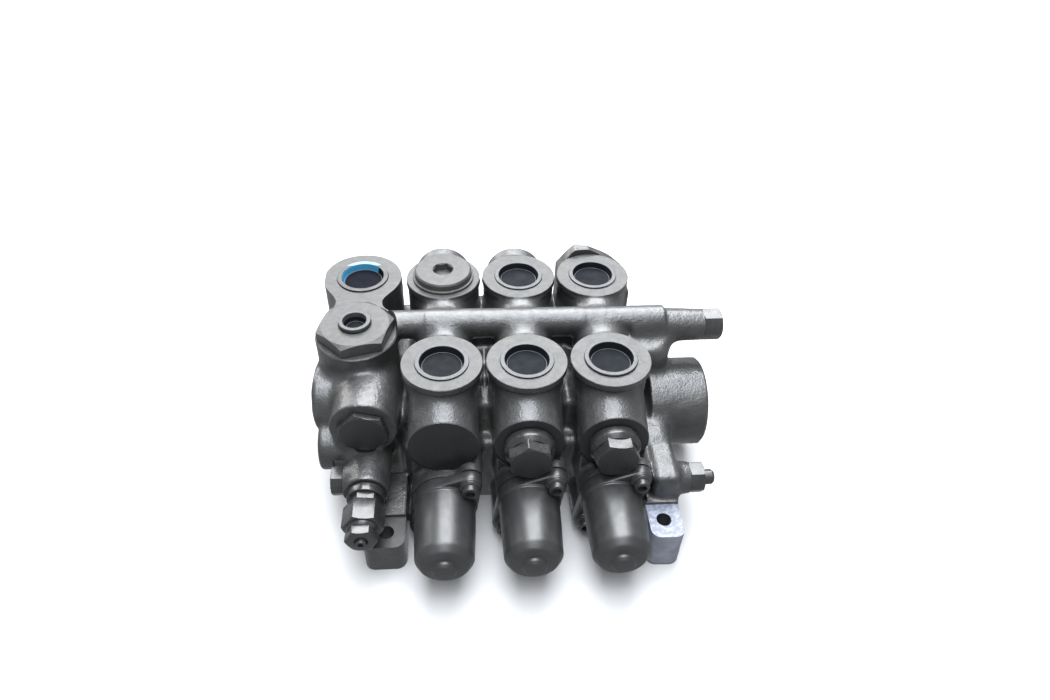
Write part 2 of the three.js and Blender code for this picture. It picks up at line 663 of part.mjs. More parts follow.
function addSidePlugs() {
  const end = GALLERY_END;
  const right = SIDE_RIGHT;
  const left = SIDE_LEFT;
  const galleryThread = { r: end.bore - GAP, length: end.tapped - 2 };
  const rightThread = { r: right.bore - GAP, length: right.depth - 2 };
  const gallery = rightPlug([end.y, end.z], end.to, GALLERY_PLUG, galleryThread);
  addPiece("gallery_plug", gallery, machined);

  const { stud, studEnd } = PLUG_RIGHT;
  const from = PLUG_RIGHT.end - 1;
  const studProfile = [
    [0, from], [stud, from], [stud, studEnd - 1.5], [stud - 1.2, studEnd], [0, studEnd],
  ];
  const lower = joined(
    rightPlug([right.y, right.z], right.end, PLUG_RIGHT, rightThread),
    turned("x", [right.y, right.z], studProfile, SIDES.small),
  );
  addPiece("lower_plug_right", lower, machined);

  const at = [left.y, left.z];
  const opposite = joined(
    hexBar("x", at, PLUG_LEFT.flats, PLUG_LEFT.end, left.end - GAP, Math.PI / 6, ["low"]),
    round("x", at, left.bore - GAP, left.end - 1, left.end + left.depth / 2, SIDES.small),
  );
  addPiece("lower_plug_left", opposite, machined);
}

function addInletFrontPlug() {
  const at = [INLET_FRONT.x, INLET_FRONT.z];
  const seat = INLET_FRONT.face - GAP;
  const plug = INLET_PLUG;
  const made = joined(
    hexBar("y", at, plug.flats, seat - plug.thick, seat, plug.turn, ["low"]),
    round("y", at, INLET_FRONT.bore - GAP, seat - 1, plug.end),
  );
  addPiece("inlet_front_plug", made, machined);
}

// ---- Relief valve ----
function addReliefBody() {
  const at = [RELIEF.x, RELIEF.z];
  const seat = RELIEF.face - GAP;
  const { flats, from, to, neck, neckEnd, collar, tip } = RELIEF_BODY;
  const tipProfile = [[0, tip], [8, tip], [9.4, tip + 1], [9.4, from], [0, from]];
  const blank = joined(
    hexBar("y", at, flats, from, to, RELIEF.turn, ["low"]),
    hexBar("y", at, neck, to - 1, neckEnd, RELIEF.turn, []),
    round("y", at, collar, neckEnd - 2, seat),
    round("y", at, RELIEF.bore - GAP, seat - 1, RELIEF.end - 2),
    turned("y", at, tipProfile),
  );
  const springRoom = round("y", at, 6.4, -60, -23);
  const screwBore = round("y", at, RELIEF_SCREW.r + GAP, tip - 1, -59, SIDES.small);
  const seatBore = round("y", at, 3, -24, RELIEF.end - 1, SIDES.small);
  addPiece("relief_body", cut(blank, springRoom, screwBore, seatBore), machined);
}

function addReliefNut() {
  const at = [RELIEF.x, RELIEF.z];
  const { flats, from, to, turn } = RELIEF_NUT;
  const bore = round("y", at, RELIEF_SCREW.r + GAP, from - 1, to + 1, SIDES.small);
  addPiece("relief_lock_nut", cut(hexBar("y", at, flats, from, to, turn, ["low"]), bore), machined);
}

function addReliefScrew() {
  const at = [RELIEF.x, RELIEF.z];
  const { r, front, plate, plateFrom, plateTo, key } = RELIEF_SCREW;
  const end = plateFrom + 0.4;
  const stem = [[0, front], [r - 0.4, front], [r, front + 0.4], [r, end], [0, end]];
  const blank = joined(
    turned("y", at, stem, SIDES.small),
    round("y", at, plate, plateFrom, plateTo, SIDES.small),
  );
  const made = cut(blank, keyHole("y", at, key, front - 1.2, front + 2.8));
  addPiece("relief_screw", made, steel);
}

function addReliefPoppet() {
  const { stem, from, r, back, front, tip, end } = RELIEF_POPPET;
  const profile = [
    [0, from], [stem, from], [stem, back], [r, back], [r, front], [tip, end], [0, end],
  ];
  addPiece("relief_poppet", turned("y", [RELIEF.x, RELIEF.z], profile, SIDES.small), steel);
  addPiece("relief_spring", coil(RELIEF.x, RELIEF.z, RELIEF_SPRING), steel);
}

addBody();
SECTION_X.forEach((x, i) => {
  addSpool(x, i + 1);
  addSpoolBolt(x, i + 1);
  addCentring(x, i + 1);
  addCap(x, i + 1);
  addRearPlate(x, i + 1);
});
SECTION_X.slice(1).forEach((x, i) => {
  addFrontPlug(x, i + 2, FRONT_PLUG_TURN[i]);
  addLoadCheck(x, i + 2);
});
addPortCaps();
addGaugeAdapter();
addRearPortPlug();
addSidePlugs();
addInletFrontPlug();
addReliefBody();
addReliefNut();
addReliefScrew();
addReliefPoppet();

export default valve;
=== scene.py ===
"""Looks of a hydraulic monoblock valve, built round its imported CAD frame.

Shapes are worked out in millimetres, in the frame's axes, and become metres when they turn into meshes.
X runs along the bank of spools, +Y to the lever side and +Z up, with the base at z = 0.
"""
import math

import bpy
import bmesh
import numpy as np
import openvdb
from mathutils import Matrix, Vector


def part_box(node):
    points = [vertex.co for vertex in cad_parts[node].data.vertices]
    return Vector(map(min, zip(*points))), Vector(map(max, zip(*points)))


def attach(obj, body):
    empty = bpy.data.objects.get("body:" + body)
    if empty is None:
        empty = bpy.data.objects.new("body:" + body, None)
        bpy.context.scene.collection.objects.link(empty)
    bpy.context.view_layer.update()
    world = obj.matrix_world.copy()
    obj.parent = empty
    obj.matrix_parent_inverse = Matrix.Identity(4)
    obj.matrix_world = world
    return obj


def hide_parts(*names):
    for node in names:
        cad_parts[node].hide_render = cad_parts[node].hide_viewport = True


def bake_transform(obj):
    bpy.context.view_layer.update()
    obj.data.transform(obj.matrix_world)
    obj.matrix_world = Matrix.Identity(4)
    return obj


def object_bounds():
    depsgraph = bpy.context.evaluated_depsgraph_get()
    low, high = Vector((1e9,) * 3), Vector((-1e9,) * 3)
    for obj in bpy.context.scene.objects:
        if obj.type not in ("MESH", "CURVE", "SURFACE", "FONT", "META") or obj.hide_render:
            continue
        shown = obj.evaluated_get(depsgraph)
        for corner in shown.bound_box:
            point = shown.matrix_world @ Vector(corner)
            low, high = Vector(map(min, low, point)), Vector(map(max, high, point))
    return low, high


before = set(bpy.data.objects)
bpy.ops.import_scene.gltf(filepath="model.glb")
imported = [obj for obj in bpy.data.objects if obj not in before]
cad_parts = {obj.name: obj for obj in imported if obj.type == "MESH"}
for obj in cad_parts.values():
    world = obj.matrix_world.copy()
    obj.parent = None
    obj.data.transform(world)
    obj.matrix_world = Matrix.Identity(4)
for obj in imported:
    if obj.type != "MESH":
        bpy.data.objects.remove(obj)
cad_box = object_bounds()

MM = 0.001
GAP = 0.3  # the frame's clearance between pieces that meet
FINE = 128  # sides of a large turned piece
SMALL = 64
ARC_STEPS = 5
WIRE_SIDES = 10


# ---- Places, read from the frame ----
def low(node):
    return np.array(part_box(node)[0]) / MM


def high(node):
    return np.array(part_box(node)[1]) / MM


def middle(node):
    return (low(node) + high(node)) / 2


def axis_place(axis, node):
    """The node's middle, in the two directions across an axis."""
    return tuple(float(v) for v in np.delete(middle(node), "xyz".index(axis)))


SECTIONS = (1, 2, 3)
SECTION_X = [float(middle(f"spool_{n}")[0]) for n in SECTIONS]
SPOOL_Z = float(middle("spool_cap_2")[2])
CAVITY_Z = float(middle("front_plug_2")[2])
FRONT_Y = float(middle("port_cap_front_2")[1])
REAR_Y = float(middle("port_cap_rear_2")[1])
CAP_SKIRT = 12.0  # how far a port cap reaches down its port
PORT_Z = float(low("port_cap_front_2")[2]) + CAP_SKIRT
FRONT_SEAT = float(high("spool_cap_2")[1]) + GAP
REAR_SEAT = float(low("rear_plate_2")[1]) - GAP
INLET_AT = INLET_X, INLET_Y = axis_place("z", "port_cap_inlet")
GAUGE_AT = axis_place("z", "gauge_adapter")
GAUGE_Y = GAUGE_AT[1]
GAUGE_TOP = float(high("gauge_adapter")[2])
GAUGE_HEAD = 8.0  # how far the gauge adapter's hexagon stands over its seat
GAUGE_FACE = GAUGE_TOP - GAUGE_HEAD
TANK_AT = axis_place("x", "port_cap_tank")
TANK_END = float(low("port_cap_tank")[0]) + CAP_SKIRT
GALLERY_END_AT = axis_place("x", "gallery_plug")
GALLERY_Y = GALLERY_END_AT[0]
RIGHT_AT = axis_place("x", "lower_plug_right")
LEFT_AT = axis_place("x", "lower_plug_left")
INLET_PLUG_AT = axis_place("y", "inlet_front_plug")
RELIEF_AT = RELIEF_X, RELIEF_Z = axis_place("y", "relief_body")

# ---- Sizes, in millimetres ----
RIM_R = 24.0
TOWER_R = 23.4
NECK_R = 17.5
NECK_Z = 79.0
PORT_BORE_R = 13.8
PORT_CAP_R, PORT_CAP_INNER_R = 15.9, 13.3
CAP_CLEARANCE = 0.4  # between a port cap's skirt and its bore
PORT_MOUTH_R = 16.1  # countersink round a port cap
PORT_DEPTH = 18.0
PASSAGE_R = 9.0
SPOOL_R = 9.0
SPOOL_BOSS_R = 19.5
CAVITY_R = 11.3
CAVITY_BOSS_R = 20.7
CAVITY_FACE = -36.0
EAR_DX, EAR_DZ, EAR_R = 15.1, 18.5, 7.0
GALLERY_Z = 93.0
GALLERY_FROM, GALLERY_TO = -95, 90
INLET_R, INLET_BORE, INLET_MOUTH_R = 25.2, 14.4, 16.9
GAUGE_R, GAUGE_BORE = 24.8, 14.1
INLET_PLUG_FACE = -21.0
RELIEF_FACE = -46.0
TANK_R, TANK_BORE, TANK_MOUTH_R = 28.8, 21.0, 23.5
RIGHT_END, LEFT_END, GALLERY_END = 98.0, -109.6, 116.0
BORE_SIDE, BORE_GALLERY = 6.3, 6.8
FOOT_HOLE_R = 4.5
FOOT_CORNER = 6
FOOT_PAD = 11  # how far a foot's machined top reaches from its hole toward the root
FEET = (  # x from, x to, hole x, hole y, tip y, root y, top z
    (70, 90, 79, -66, -78.5, -40, 28),
    (-98, -73.5, -84.5, -63.5, -74, -20, 22),
    (70, 90, 80, 121, 134, 100, 28),
    (-114, -90, -102, 121, 134, 100, 28),
)
SCREW_SHANK, SCREW_HEAD_R, SCREW_HEAD_LENGTH = 3.0, 4.6, 5.2
SCREW_HOLE_R = 3.3
SCREW_TAPPED = 17
CAP_FLANGE = 6.7
PLATE_THICK = 4.7
CENTRING_FIXED, CENTRING_MOVING = -47.6, -75.2
CHECK_FIXED, CHECK_MOVING = -33.6, -21.4
RELIEF_FIXED, RELIEF_MOVING = -53.7, -30.9

# ---- How far each hexagon is turned, in radians ----
RELIEF_TURN = 0.92
FRONT_PLUG_TURN = {2: 0.66, 3: -0.06}
INLET_PLUG_TURN = 0.768
GAUGE_TURN = math.radians(15)
PLUG_SOCKET_TURN = 0.2


# ---- Meshes ----
def placed(name, data):
    """A new object in the scene that shows the given data."""
    obj = bpy.data.objects.new(name, data)
    bpy.context.scene.collection.objects.link(obj)
    return obj


def new_object(name, points, faces):
    """A mesh object from points in millimetres and faces that all have the same number of corners."""
    points = np.asarray(points, np.float32) * MM
    faces = np.asarray(faces, np.int32)
    corners = faces.shape[1]
    mesh = bpy.data.meshes.new(name)
    mesh.vertices.add(len(points))
    mesh.vertices.foreach_set("co", points.ravel())
    mesh.loops.add(faces.size)
    mesh.loops.foreach_set("vertex_index", faces.ravel())
    mesh.polygons.add(len(faces))
    mesh.polygons.foreach_set("loop_start", np.arange(0, faces.size, corners, dtype=np.int32))
    mesh.update(calc_edges=True)
    return placed(name, mesh)


def from_bmesh(name, bm):
    bmesh.ops.recalc_face_normals(bm, faces=bm.faces)
    mesh = bpy.data.meshes.new(name)
    bm.to_mesh(mesh)
    bm.free()
    return placed(name, mesh)


def applied(obj):
    """Turns the object's modifiers into its own mesh."""
    graph = bpy.context.evaluated_depsgraph_get()
    mesh = bpy.data.meshes.new_from_object(obj.evaluated_get(graph), depsgraph=graph)
    obj.modifiers.clear()
    obj.data = mesh
    return obj


def combine(base, tools, operation):
    """Joins or cuts closed meshes; the tools are used up."""
    for tool in tools:
        step = base.modifiers.new("step", "BOOLEAN")
        step.operation = operation
        step.solver = "MANIFOLD"
        step.object = tool
    applied(base)
    for tool in tools:
        bpy.data.objects.remove(tool)
    return base


def join(base, *others):
    return combine(base, others, "UNION")


def cut(base, *tools):
    return combine(base, tools, "DIFFERENCE")


# Painted glare: the front right foot's milled pad gets a light bluish colour for the light that falls on
# it, not for its paint; the other pads keep plain black paint.
def common(base, other):
    return combine(base, [other], "INTERSECT")


# Painted light: the front right foot's front faces get a lighter bluish colour for the light and haze
# falling on them, not for wear.
def renamed(obj, name):
    obj.name = name
    obj.data.name = name
    return obj


def soften(obj, width, steps=2):
    """Rounds the object's edges."""
    bevel = obj.modifiers.new("edges", "BEVEL")
    bevel.width = width * MM
    bevel.segments = steps
    bevel.limit_method = "ANGLE"
    bevel.angle_limit = math.radians(32)
    bevel.use_clamp_overlap = True
    return applied(obj)


def smooth(obj, angle):
    """Smooth shading, with edges sharper than the angle kept crisp."""
    mesh = obj.data
    mesh.polygons.foreach_set("use_smooth", np.ones(len(mesh.polygons), bool))
    mesh.set_sharp_from_angle(angle=math.radians(angle))
    return obj


def on_axis(axis, centre, across, up, along):
    """Points from turned coordinates; centre holds the two other coordinates, in X, Y, Z order."""
    order = {"x": (along, centre[0] + across, centre[1] + up),
             "y": (centre[0] + across, along, centre[1] + up),
             "z": (centre[0] + across, centre[1] + up, along)}
    return np.stack(np.broadcast_arrays(*order[axis]), axis=-1)


def arcs(profile):
    """Turned profile of (radius, along) points; a third number rounds that corner to that radius."""
    count = len(profile)
    made = []
    for i, point in enumerate(profile):
        here = np.array(point[:2], float)
        size = point[2] if len(point) > 2 else 0
        if not size:
            made.append(here)
            continue
        before = np.array(profile[i - 1][:2], float) - here
        after = np.array(profile[(i + 1) % count][:2], float) - here
        a, b = before / np.linalg.norm(before), after / np.linalg.norm(after)
        half = math.acos(max(-1, min(1, float(a @ b)))) / 2
        reach = min(size / math.tan(half), 0.49 * np.linalg.norm(before), 0.49 * np.linalg.norm(after))
        radius = reach * math.tan(half)
        hub = here + (a + b) / np.linalg.norm(a + b) * radius / math.sin(half)
        start, end = here + a * reach - hub, here + b * reach - hub
        sweep = math.atan2(start[0] * end[1] - start[1] * end[0], float(start @ end))
        for k in range(ARC_STEPS + 1):
            t = sweep * k / ARC_STEPS
            c, s = math.cos(t), math.sin(t)
            made.append(hub + np.array([c * start[0] - s * start[1], s * start[0] + c * start[1]]))
    return made


def lathe(axis, centre, profile, sides=FINE, turn=0.0):
    """A turned solid. The profile starts and ends on the axis, or closes on itself as a ring."""
    points = arcs(profile)
    angles = turn + np.arange(sides) * 2 * math.pi / sides
    bm = bmesh.new()
    rings = []
    for r, along in points:
        if r < 1e-6:
            place = on_axis(axis, centre, 0.0, 0.0, along) * MM
            rings.append([bm.verts.new(place)])
        else:
            circle = on_axis(axis, centre, r * np.cos(angles), r * np.sin(angles), along) * MM
            rings.append([bm.verts.new(p) for p in circle])
    closed = len(rings[0]) > 1 and len(rings[-1]) > 1
    pairs = list(zip(rings, rings[1:] + rings[:1])) if closed else list(zip(rings, rings[1:]))
    for a, b in pairs:
        for i in range(sides):
            j = (i + 1) % sides
            corners = [a[i % len(a)], a[j % len(a)], b[j % len(b)], b[i % len(b)]]
            corners = list(dict.fromkeys(corners))
            if len(corners) > 2:
                bm.faces.new(corners)
    return from_bmesh("turned", bm)


def turned(axis, centre, points, sides=FINE, turn=0.0):
    """A turned solid that is flat at both ends; the points leave its axis out."""
    return lathe(axis, centre, [(0, points[0][1]), *points, (0, points[-1][1])], sides, turn)


def rod(axis, centre, radius, start, end, sides=SMALL, turn=0.0):
    return turned(axis, centre, [(radius, start), (radius, end)], sides, turn)


def slab(low_corner, high_corner):
    bm = bmesh.new()
    bmesh.ops.create_cube(bm, size=1)
    size = np.subtract(high_corner, low_corner) * MM
    centre = np.add(high_corner, low_corner) / 2 * MM
    for v in bm.verts:
        v.co = Vector(np.array(v.co) * size + centre)
    return from_bmesh("slab", bm)


def hex_bar(axis, centre, flats, start, end, turn, chamfer):
    """A hexagon bar. chamfer says whether its start and its end have a turned chamfer."""
    corner = flats / math.sqrt(3)
    face = flats / 2
    drop = (corner - face) * 0.62
    wide = corner + 0.2
    narrow = face * 0.985
    bar = soften(rod(axis, centre, corner, start, end, 6, turn), 0.3)
    first = [(narrow, start), (wide, start + drop)] if chamfer[0] else [(wide, start)]
    last = [(wide, end - drop), (narrow, end)] if chamfer[1] else [(wide, end)]
    return common(bar, turned(axis, centre, [*first, *last]))


def coil(centre, radius, wire, start, end, turns):
    """A coil spring along y, with closed ends and round wire."""
    per_turn = 32
    steps = turns * per_turn
    share = np.linspace(0, 1, steps + 1)
    closed = 0.75 / turns
    pitch = np.clip((share - closed) / (1 - 2 * closed), 0, 1)
    along = start + wire + (end - start - 2 * wire) * pitch
    angle = share * turns * 2 * math.pi
    return tube(on_axis("y", centre, radius * np.cos(angle), radius * np.sin(angle), along), wire)


def tube(line, radius):
    """A round wire along a line of points, closed at both ends."""
    tangent = np.gradient(line, axis=0)
    tangent /= np.linalg.norm(tangent, axis=1)[:, None]
    normal = np.cross(tangent[0], [0.3, 0.5, 0.81])
    normal /= np.linalg.norm(normal)
    bm = bmesh.new()
    rings = []
    for point, way in zip(line, tangent):
        normal = normal - way * (normal @ way)
        normal /= np.linalg.norm(normal)
        side = np.cross(way, normal)
        rings.append([bm.verts.new((point + radius * (normal * math.cos(t) + side * math.sin(t))) * MM)
                      for t in np.arange(WIRE_SIDES) * 2 * math.pi / WIRE_SIDES])
    for a, b in zip(rings, rings[1:]):
        for i in range(WIRE_SIDES):
            bm.faces.new([a[i], a[i - 1], b[i - 1], b[i]])
    bm.faces.new(rings[0])
    bm.faces.new(rings[-1])
    return from_bmesh("wire", bm)


# ---- The raw casting, as a distance field ----
VOXEL = 0.8
MARGIN = 16.0  # how far round a shape the field is worked out, over the largest blend
FAR = 40.0


def rounded_box(x0, x1, y0, y1, z0, z1, edge):
    centre = [(x0 + x1) / 2, (y0 + y1) / 2, (z0 + z1) / 2]
    half = [(x1 - x0) / 2 - edge, (y1 - y0) / 2 - edge, (z1 - z0) / 2 - edge]

    def distance(x, y, z):
        dx, dy, dz = (np.abs(v - c) - h for v, c, h in zip((x, y, z), centre, half))
        outside = np.sqrt(np.maximum(dx, 0) ** 2 + np.maximum(dy, 0) ** 2 + np.maximum(dz, 0) ** 2)
        return outside + np.minimum(np.maximum(np.maximum(dx, dy), dz), 0) - edge

    return (x0, y0, z0), (x1, y1, z1), distance


def split(axis, x, y, z):
    """The two coordinates across an axis, and the one along it."""
    return {"x": (y, z, x), "y": (x, z, y), "z": (x, y, z)}[axis]


def span(axis, centre, reach, start, end):
    a, b = np.subtract(centre, reach), np.add(centre, reach)
    order = {"x": ((start, a[0], a[1]), (end, b[0], b[1])),
             "y": ((a[0], start, a[1]), (b[0], end, b[1])),
             "z": ((a[0], a[1], start), (b[0], b[1], end))}
    return order[axis]


def extruded(flat, along, start, end, edge):
    """Combines a flat outline's distance with a stretch along the third axis, rounding the edges."""
    over = flat + edge
    beyond = np.abs(along - (start + end) / 2) - ((end - start) / 2 - edge)
    outside = np.sqrt(np.maximum(over, 0) ** 2 + np.maximum(beyond, 0) ** 2)
    return outside + np.minimum(np.maximum(over, beyond), 0) - edge


def cylinder(axis, centre, r0, start, end, edge=1.0, r1=None):
    """A cylinder or a cone with rounded ends."""
    r1 = r0 if r1 is None else r1

    def distance(x, y, z):
        a, b, along = split(axis, x, y, z)
        radius = r0 + (r1 - r0) * (along - start) / (end - start)
        flat = np.sqrt((a - centre[0]) ** 2 + (b - centre[1]) ** 2) - radius
        return extruded(flat, along, start, end, edge)

    return (*span(axis, centre, max(r0, r1), start, end), distance)


def capsule(axis, first, second, radius, start, end, edge=1.0):
    """A slot-shaped outline between two centres, extruded along an axis."""
    def distance(x, y, z):
        a, b, along = split(axis, x, y, z)
        way = np.subtract(second, first)
        share = ((a - first[0]) * way[0] + (b - first[1]) * way[1]) / (way @ way)
        share = np.clip(share, 0, 1)
        off_a, off_b = a - first[0] - share * way[0], b - first[1] - share * way[1]
        flat = np.sqrt(off_a ** 2 + off_b ** 2) - radius
        return extruded(flat, along, start, end, edge)

    centre = np.add(first, second) / 2
    reach = np.abs(np.subtract(second, first)) / 2 + radius
    return (*span(axis, centre, reach, start, end), distance)


def outline(axis, corners, start, end, edge, rounding):
    """A polygon outline with rounded corners, extruded along an axis."""
    corners = np.asarray(corners, float)

    def distance(x, y, z):
        a, b, along = split(axis, x, y, z)
        best, inside = None, None
        for p, q in zip(corners, np.roll(corners, -1, axis=0)):
            way = q - p
            share = np.clip(((a - p[0]) * way[0] + (b - p[1]) * way[1]) / (way @ way), 0, 1)
            d = (a - p[0] - share * way[0]) ** 2 + (b - p[1] - share * way[1]) ** 2
            meets = (q[0] - p[0]) * (b - p[1]) / (way[1] or 1e-9) + p[0]
            crosses = ((p[1] > b) != (q[1] > b)) & (a < meets)
            best = d if best is None else np.minimum(best, d)
            inside = crosses if inside is None else inside ^ crosses
        flat = np.where(inside, -1, 1) * np.sqrt(best) - rounding
        return extruded(flat, along, start, end, edge)

    centre = (corners.min(0) + corners.max(0)) / 2
    reach = (corners.max(0) - corners.min(0)) / 2 + rounding
    return (*span(axis, centre, reach, start, end), distance)


class Casting:
    """The distance field of the raw casting on a regular grid."""

    def __init__(self, low_corner, high_corner, step):
        self.step = step
        self.low = np.asarray(low_corner, float)
        counts = np.ceil((np.asarray(high_corner) - self.low) / step).astype(int) + 1
        self.axes = [self.low[i] + step * np.arange(counts[i]) for i in range(3)]
        self.values = np.full(counts, FAR, np.float32)

    def window(self, low_corner, high_corner):
        parts = [slice(*np.searchsorted(axis, (a, b)))
                 for axis, a, b in zip(self.axes, low_corner, high_corner)]
        grids = np.meshgrid(*[axis[part].astype(np.float32) for axis, part in zip(self.axes, parts)],
                            indexing="ij", sparse=True)
        return tuple(parts), grids

    def blend(self, shape, reach):
        """Joins a shape, with a fillet of about the given reach."""
        low_corner, high_corner, distance = shape
        parts, grids = self.window(np.subtract(low_corner, MARGIN), np.add(high_corner, MARGIN))
        old, new = self.values[parts], distance(*grids)
        near = np.maximum(reach - np.abs(old - new), 0) / reach
        self.values[parts] = np.minimum(old, new) - near * near * reach / 4

    def roughen(self, seed, spacing, depth):
        """Adds the gentle unevenness of a sand mould."""
        rng = np.random.default_rng(seed)
        counts = [len(axis) for axis in self.axes]
        knots = [int(n * self.step / spacing) + 3 for n in counts]
        noise = rng.standard_normal(knots).astype(np.float32)
        for i, n in enumerate(counts):
            at = np.arange(n) * self.step / spacing
            k = at.astype(int)
            t = (at - k).astype(np.float32)
            t = t * t * (3 - 2 * t)
            shape = [1, 1, 1]
            shape[i] = n
            t = t.reshape(shape)
            noise = np.take(noise, k, axis=i) * (1 - t) + np.take(noise, k + 1, axis=i) * t
        self.values += noise * depth

    def surface(self, name):
        grid = openvdb.FloatGrid(FAR)
        grid.copyFromArray(self.values)
        points, quads = grid.convertToQuads(0.0)
        return new_object(name, points * self.step + self.low, quads)


BELOW = -4.0  # the raw casting reaches below its machined base


def ears(x):
    return [(x + EAR_DX, SPOOL_Z + EAR_DZ), (x - EAR_DX, SPOOL_Z - EAR_DZ)]


def leaning(shape, slope):
    """A front boss whose top rises from its face toward the port."""
    low_corner, high_corner, distance = shape
    lift = slope * (high_corner[1] - CAVITY_FACE)

    def leant(x, y, z):
        return distance(x, y, z - slope * np.maximum(y - CAVITY_FACE, 0))

    return low_corner, np.add(high_corner, (0, 0, lift)), leant


def section_shapes(x, number):
    yield cylinder("y", (x, SPOOL_Z), SPOOL_BOSS_R, FRONT_SEAT - 3, -15, 1), 5
    yield cylinder("y", (x, SPOOL_Z), SPOOL_BOSS_R, 96, REAR_SEAT + 3, 1), 6
    for ear in ears(x):
        yield capsule("y", (x, SPOOL_Z), ear, EAR_R, FRONT_SEAT - 3, -15), 3
        yield capsule("y", (x, SPOOL_Z), ear, EAR_R, 96, REAR_SEAT + 3), 3
    yield rounded_box(x - 19.5, x + 19.5, CAVITY_FACE, -10, SPOOL_Z, CAVITY_Z, 1), 2.5
    yield leaning(cylinder("y", (x, CAVITY_Z), CAVITY_BOSS_R, CAVITY_FACE - 1, -14, 0.5), 0.36), 1.5
    yield cylinder("z", (x, FRONT_Y), TOWER_R - 1, 30, PORT_Z - 3, 1), 5
    yield cylinder("z", (x, REAR_Y), TOWER_R, 30, PORT_Z - 3, 1), 4
    yield cylinder("y", (x, NECK_Z), NECK_R, FRONT_Y, REAR_Y), 6
    yield rear_hump(x, number), 4


def rear_hump(x, number):
    """Two of the rear cavity bosses are round, and the right one is an angular, sloping shoulder."""
    if number == 1:
        return cylinder("y", (x - 1, 79), 18.7, 80, 119, 1.5)
    if number == 2:
        return cylinder("y", (x - 1, 77.5), 19.4, 80, 119, 1.5)
    peak = [(-20, 56), (-19.5, 87), (-14.5, 94), (-9, 100), (0, 99.4), (9, 95), (15, 91.5), (24, 84),
            (24, 56)]
    return outline("y", [(x + dx, z) for dx, z in peak], 80, 115, 1.5, 2)


def rim_shapes(x):
    for y in (FRONT_Y, REAR_Y):
        yield cylinder("z", (x, y), RIM_R, 93, PORT_Z + 3, 0.8), 1.5


def web_shapes():
    """Low walls between neighbouring towers."""
    for a, b in zip(SECTION_X, SECTION_X[1:]):
        x = (a + b) / 2
        yield rounded_box(x - 5, x + 5, -10, 24, 30, 72, 3), 6
        yield rounded_box(x - 5, x + 5, REAR_Y - 16, REAR_Y + 10, 30, 74, 3), 6


def seam_shapes():
    """The bead left between the first two towers, where the mould cores met."""
    x = (SECTION_X[0] + SECTION_X[1]) / 2
    path = [(19, 89), (12, 84), (5, 79), (-1, 74), (-7, 70), (-9, 60), (-9, 52)]
    for (y0, z0), (y1, z1) in zip(path, path[1:]):
        yield capsule("x", (y0, z0), (y1, z1), 1.7, x - 1.0, x + 1.0, 0.8), 2


def rippled_tube(steps):
    """The gallery's tube. steps are (x, radius): small changes where the mould cores met."""
    def distance(x, y, z):
        radius = np.interp(x, *zip(*steps))
        flat = np.sqrt((y - GALLERY_Y) ** 2 + (z - GALLERY_Z) ** 2) - radius
        return extruded(flat, x, GALLERY_FROM, GALLERY_TO, 0.5)

    return (*span("x", (GALLERY_Y, GALLERY_Z), 10, GALLERY_FROM, GALLERY_TO), distance)


def gallery_shapes():
    yield rippled_tube(((-62, 9.1), (-60, 9.5), (-26, 9.45), (-24, 9.2), (5, 9.15), (7, 9.5), (38, 9.4),
                        (40, 9.1), (66, 9.15), (68, 9.35))), 5
    yield cylinder("x", GALLERY_END_AT, 11.8, 69, GALLERY_END + 2, 0.6, 10.0), 2
    yield cylinder("z", (78, 36), 17, 40, 86, 3), 8
    yield rounded_box(60, 90, 20, 52, 40, 82, 4), 8


def inlet_shapes():
    yield cylinder("z", GAUGE_AT, GAUGE_R, BELOW, GAUGE_FACE + 3, 1), 3
    yield rounded_box(-122, -70, -8, 106, BELOW, 60, 5), 8
    yield cylinder("z", INLET_AT, INLET_R, 30, PORT_Z + 3, 1), 6
    yield rounded_box(-117, -89, 40, 70, 50, PORT_Z + 3, 1), 8
    yield cylinder("x", (13, 59), 20, -129, -100, 3), 6
    yield cylinder("x", (-9.5, 40), 15.5, -126, -100, 2.5), 4
    yield cylinder("y", INLET_PLUG_AT, 20, INLET_PLUG_FACE, 20, 1), 4
    yield cylinder("y", RELIEF_AT, 13.2, RELIEF_FACE, 0, 1), 5
    yield cylinder("x", LEFT_AT, 9.4, LEFT_END - 2, RELIEF_X, 0.8, 10.5), 3


def right_end_shapes():
    yield rounded_box(74, 90, -52, 106, BELOW, 48, 4), 5
    yield rounded_box(60, 90, -15, 106, BELOW, 48, 4), 5
    yield cylinder("x", TANK_AT, TANK_R, 80, TANK_END + 2, 1), 5
    yield cylinder("x", RIGHT_AT, 11.6, 80, RIGHT_END + 2, 0.8, 9.3), 4


def foot_shapes():
    for x0, x1, _, _, tip, root, top in FEET:
        y0, y1 = sorted((tip, root))
        left, right = x0 + FOOT_CORNER, x1 - FOOT_CORNER
        front, back = y0 + FOOT_CORNER, y1 - FOOT_CORNER
        corners = [(left, front), (right, front), (right, back), (left, back)]
        yield outline("z", corners, BELOW, top + 2, 0.6, FOOT_CORNER), 4


def raw_casting():
    casting = Casting((-133, -84, BELOW - 3), (124, 140, 108), VOXEL)
    casting.blend(rounded_box(-76, 88, -22, 106, BELOW, 50, 5), 4)
    sections = [section_shapes(x, number) for number, x in zip(SECTIONS, SECTION_X)]
    rims = [rim_shapes(x) for x in SECTION_X]
    for group in (*sections, web_shapes(), gallery_shapes(), inlet_shapes(), right_end_shapes(),
                  foot_shapes(), seam_shapes(), *rims):
        for shape, reach in group:
            casting.blend(shape, reach)
    casting.roughen(4, 14, 0.10)
    casting.roughen(9, 5, 0.05)
    return casting.surface("casting")


# ---- Machining of the casting ----
def spot_face(axis, centre, radius, face, way, height=12, break_edge=0.7):
    """Flattens a round boss and breaks its edge."""
    wide = radius + 0.4
    return turned(axis, centre, [(radius - break_edge, face), (wide, face - way * (break_edge + 0.4)),
                                 (wide, face + way * height)])


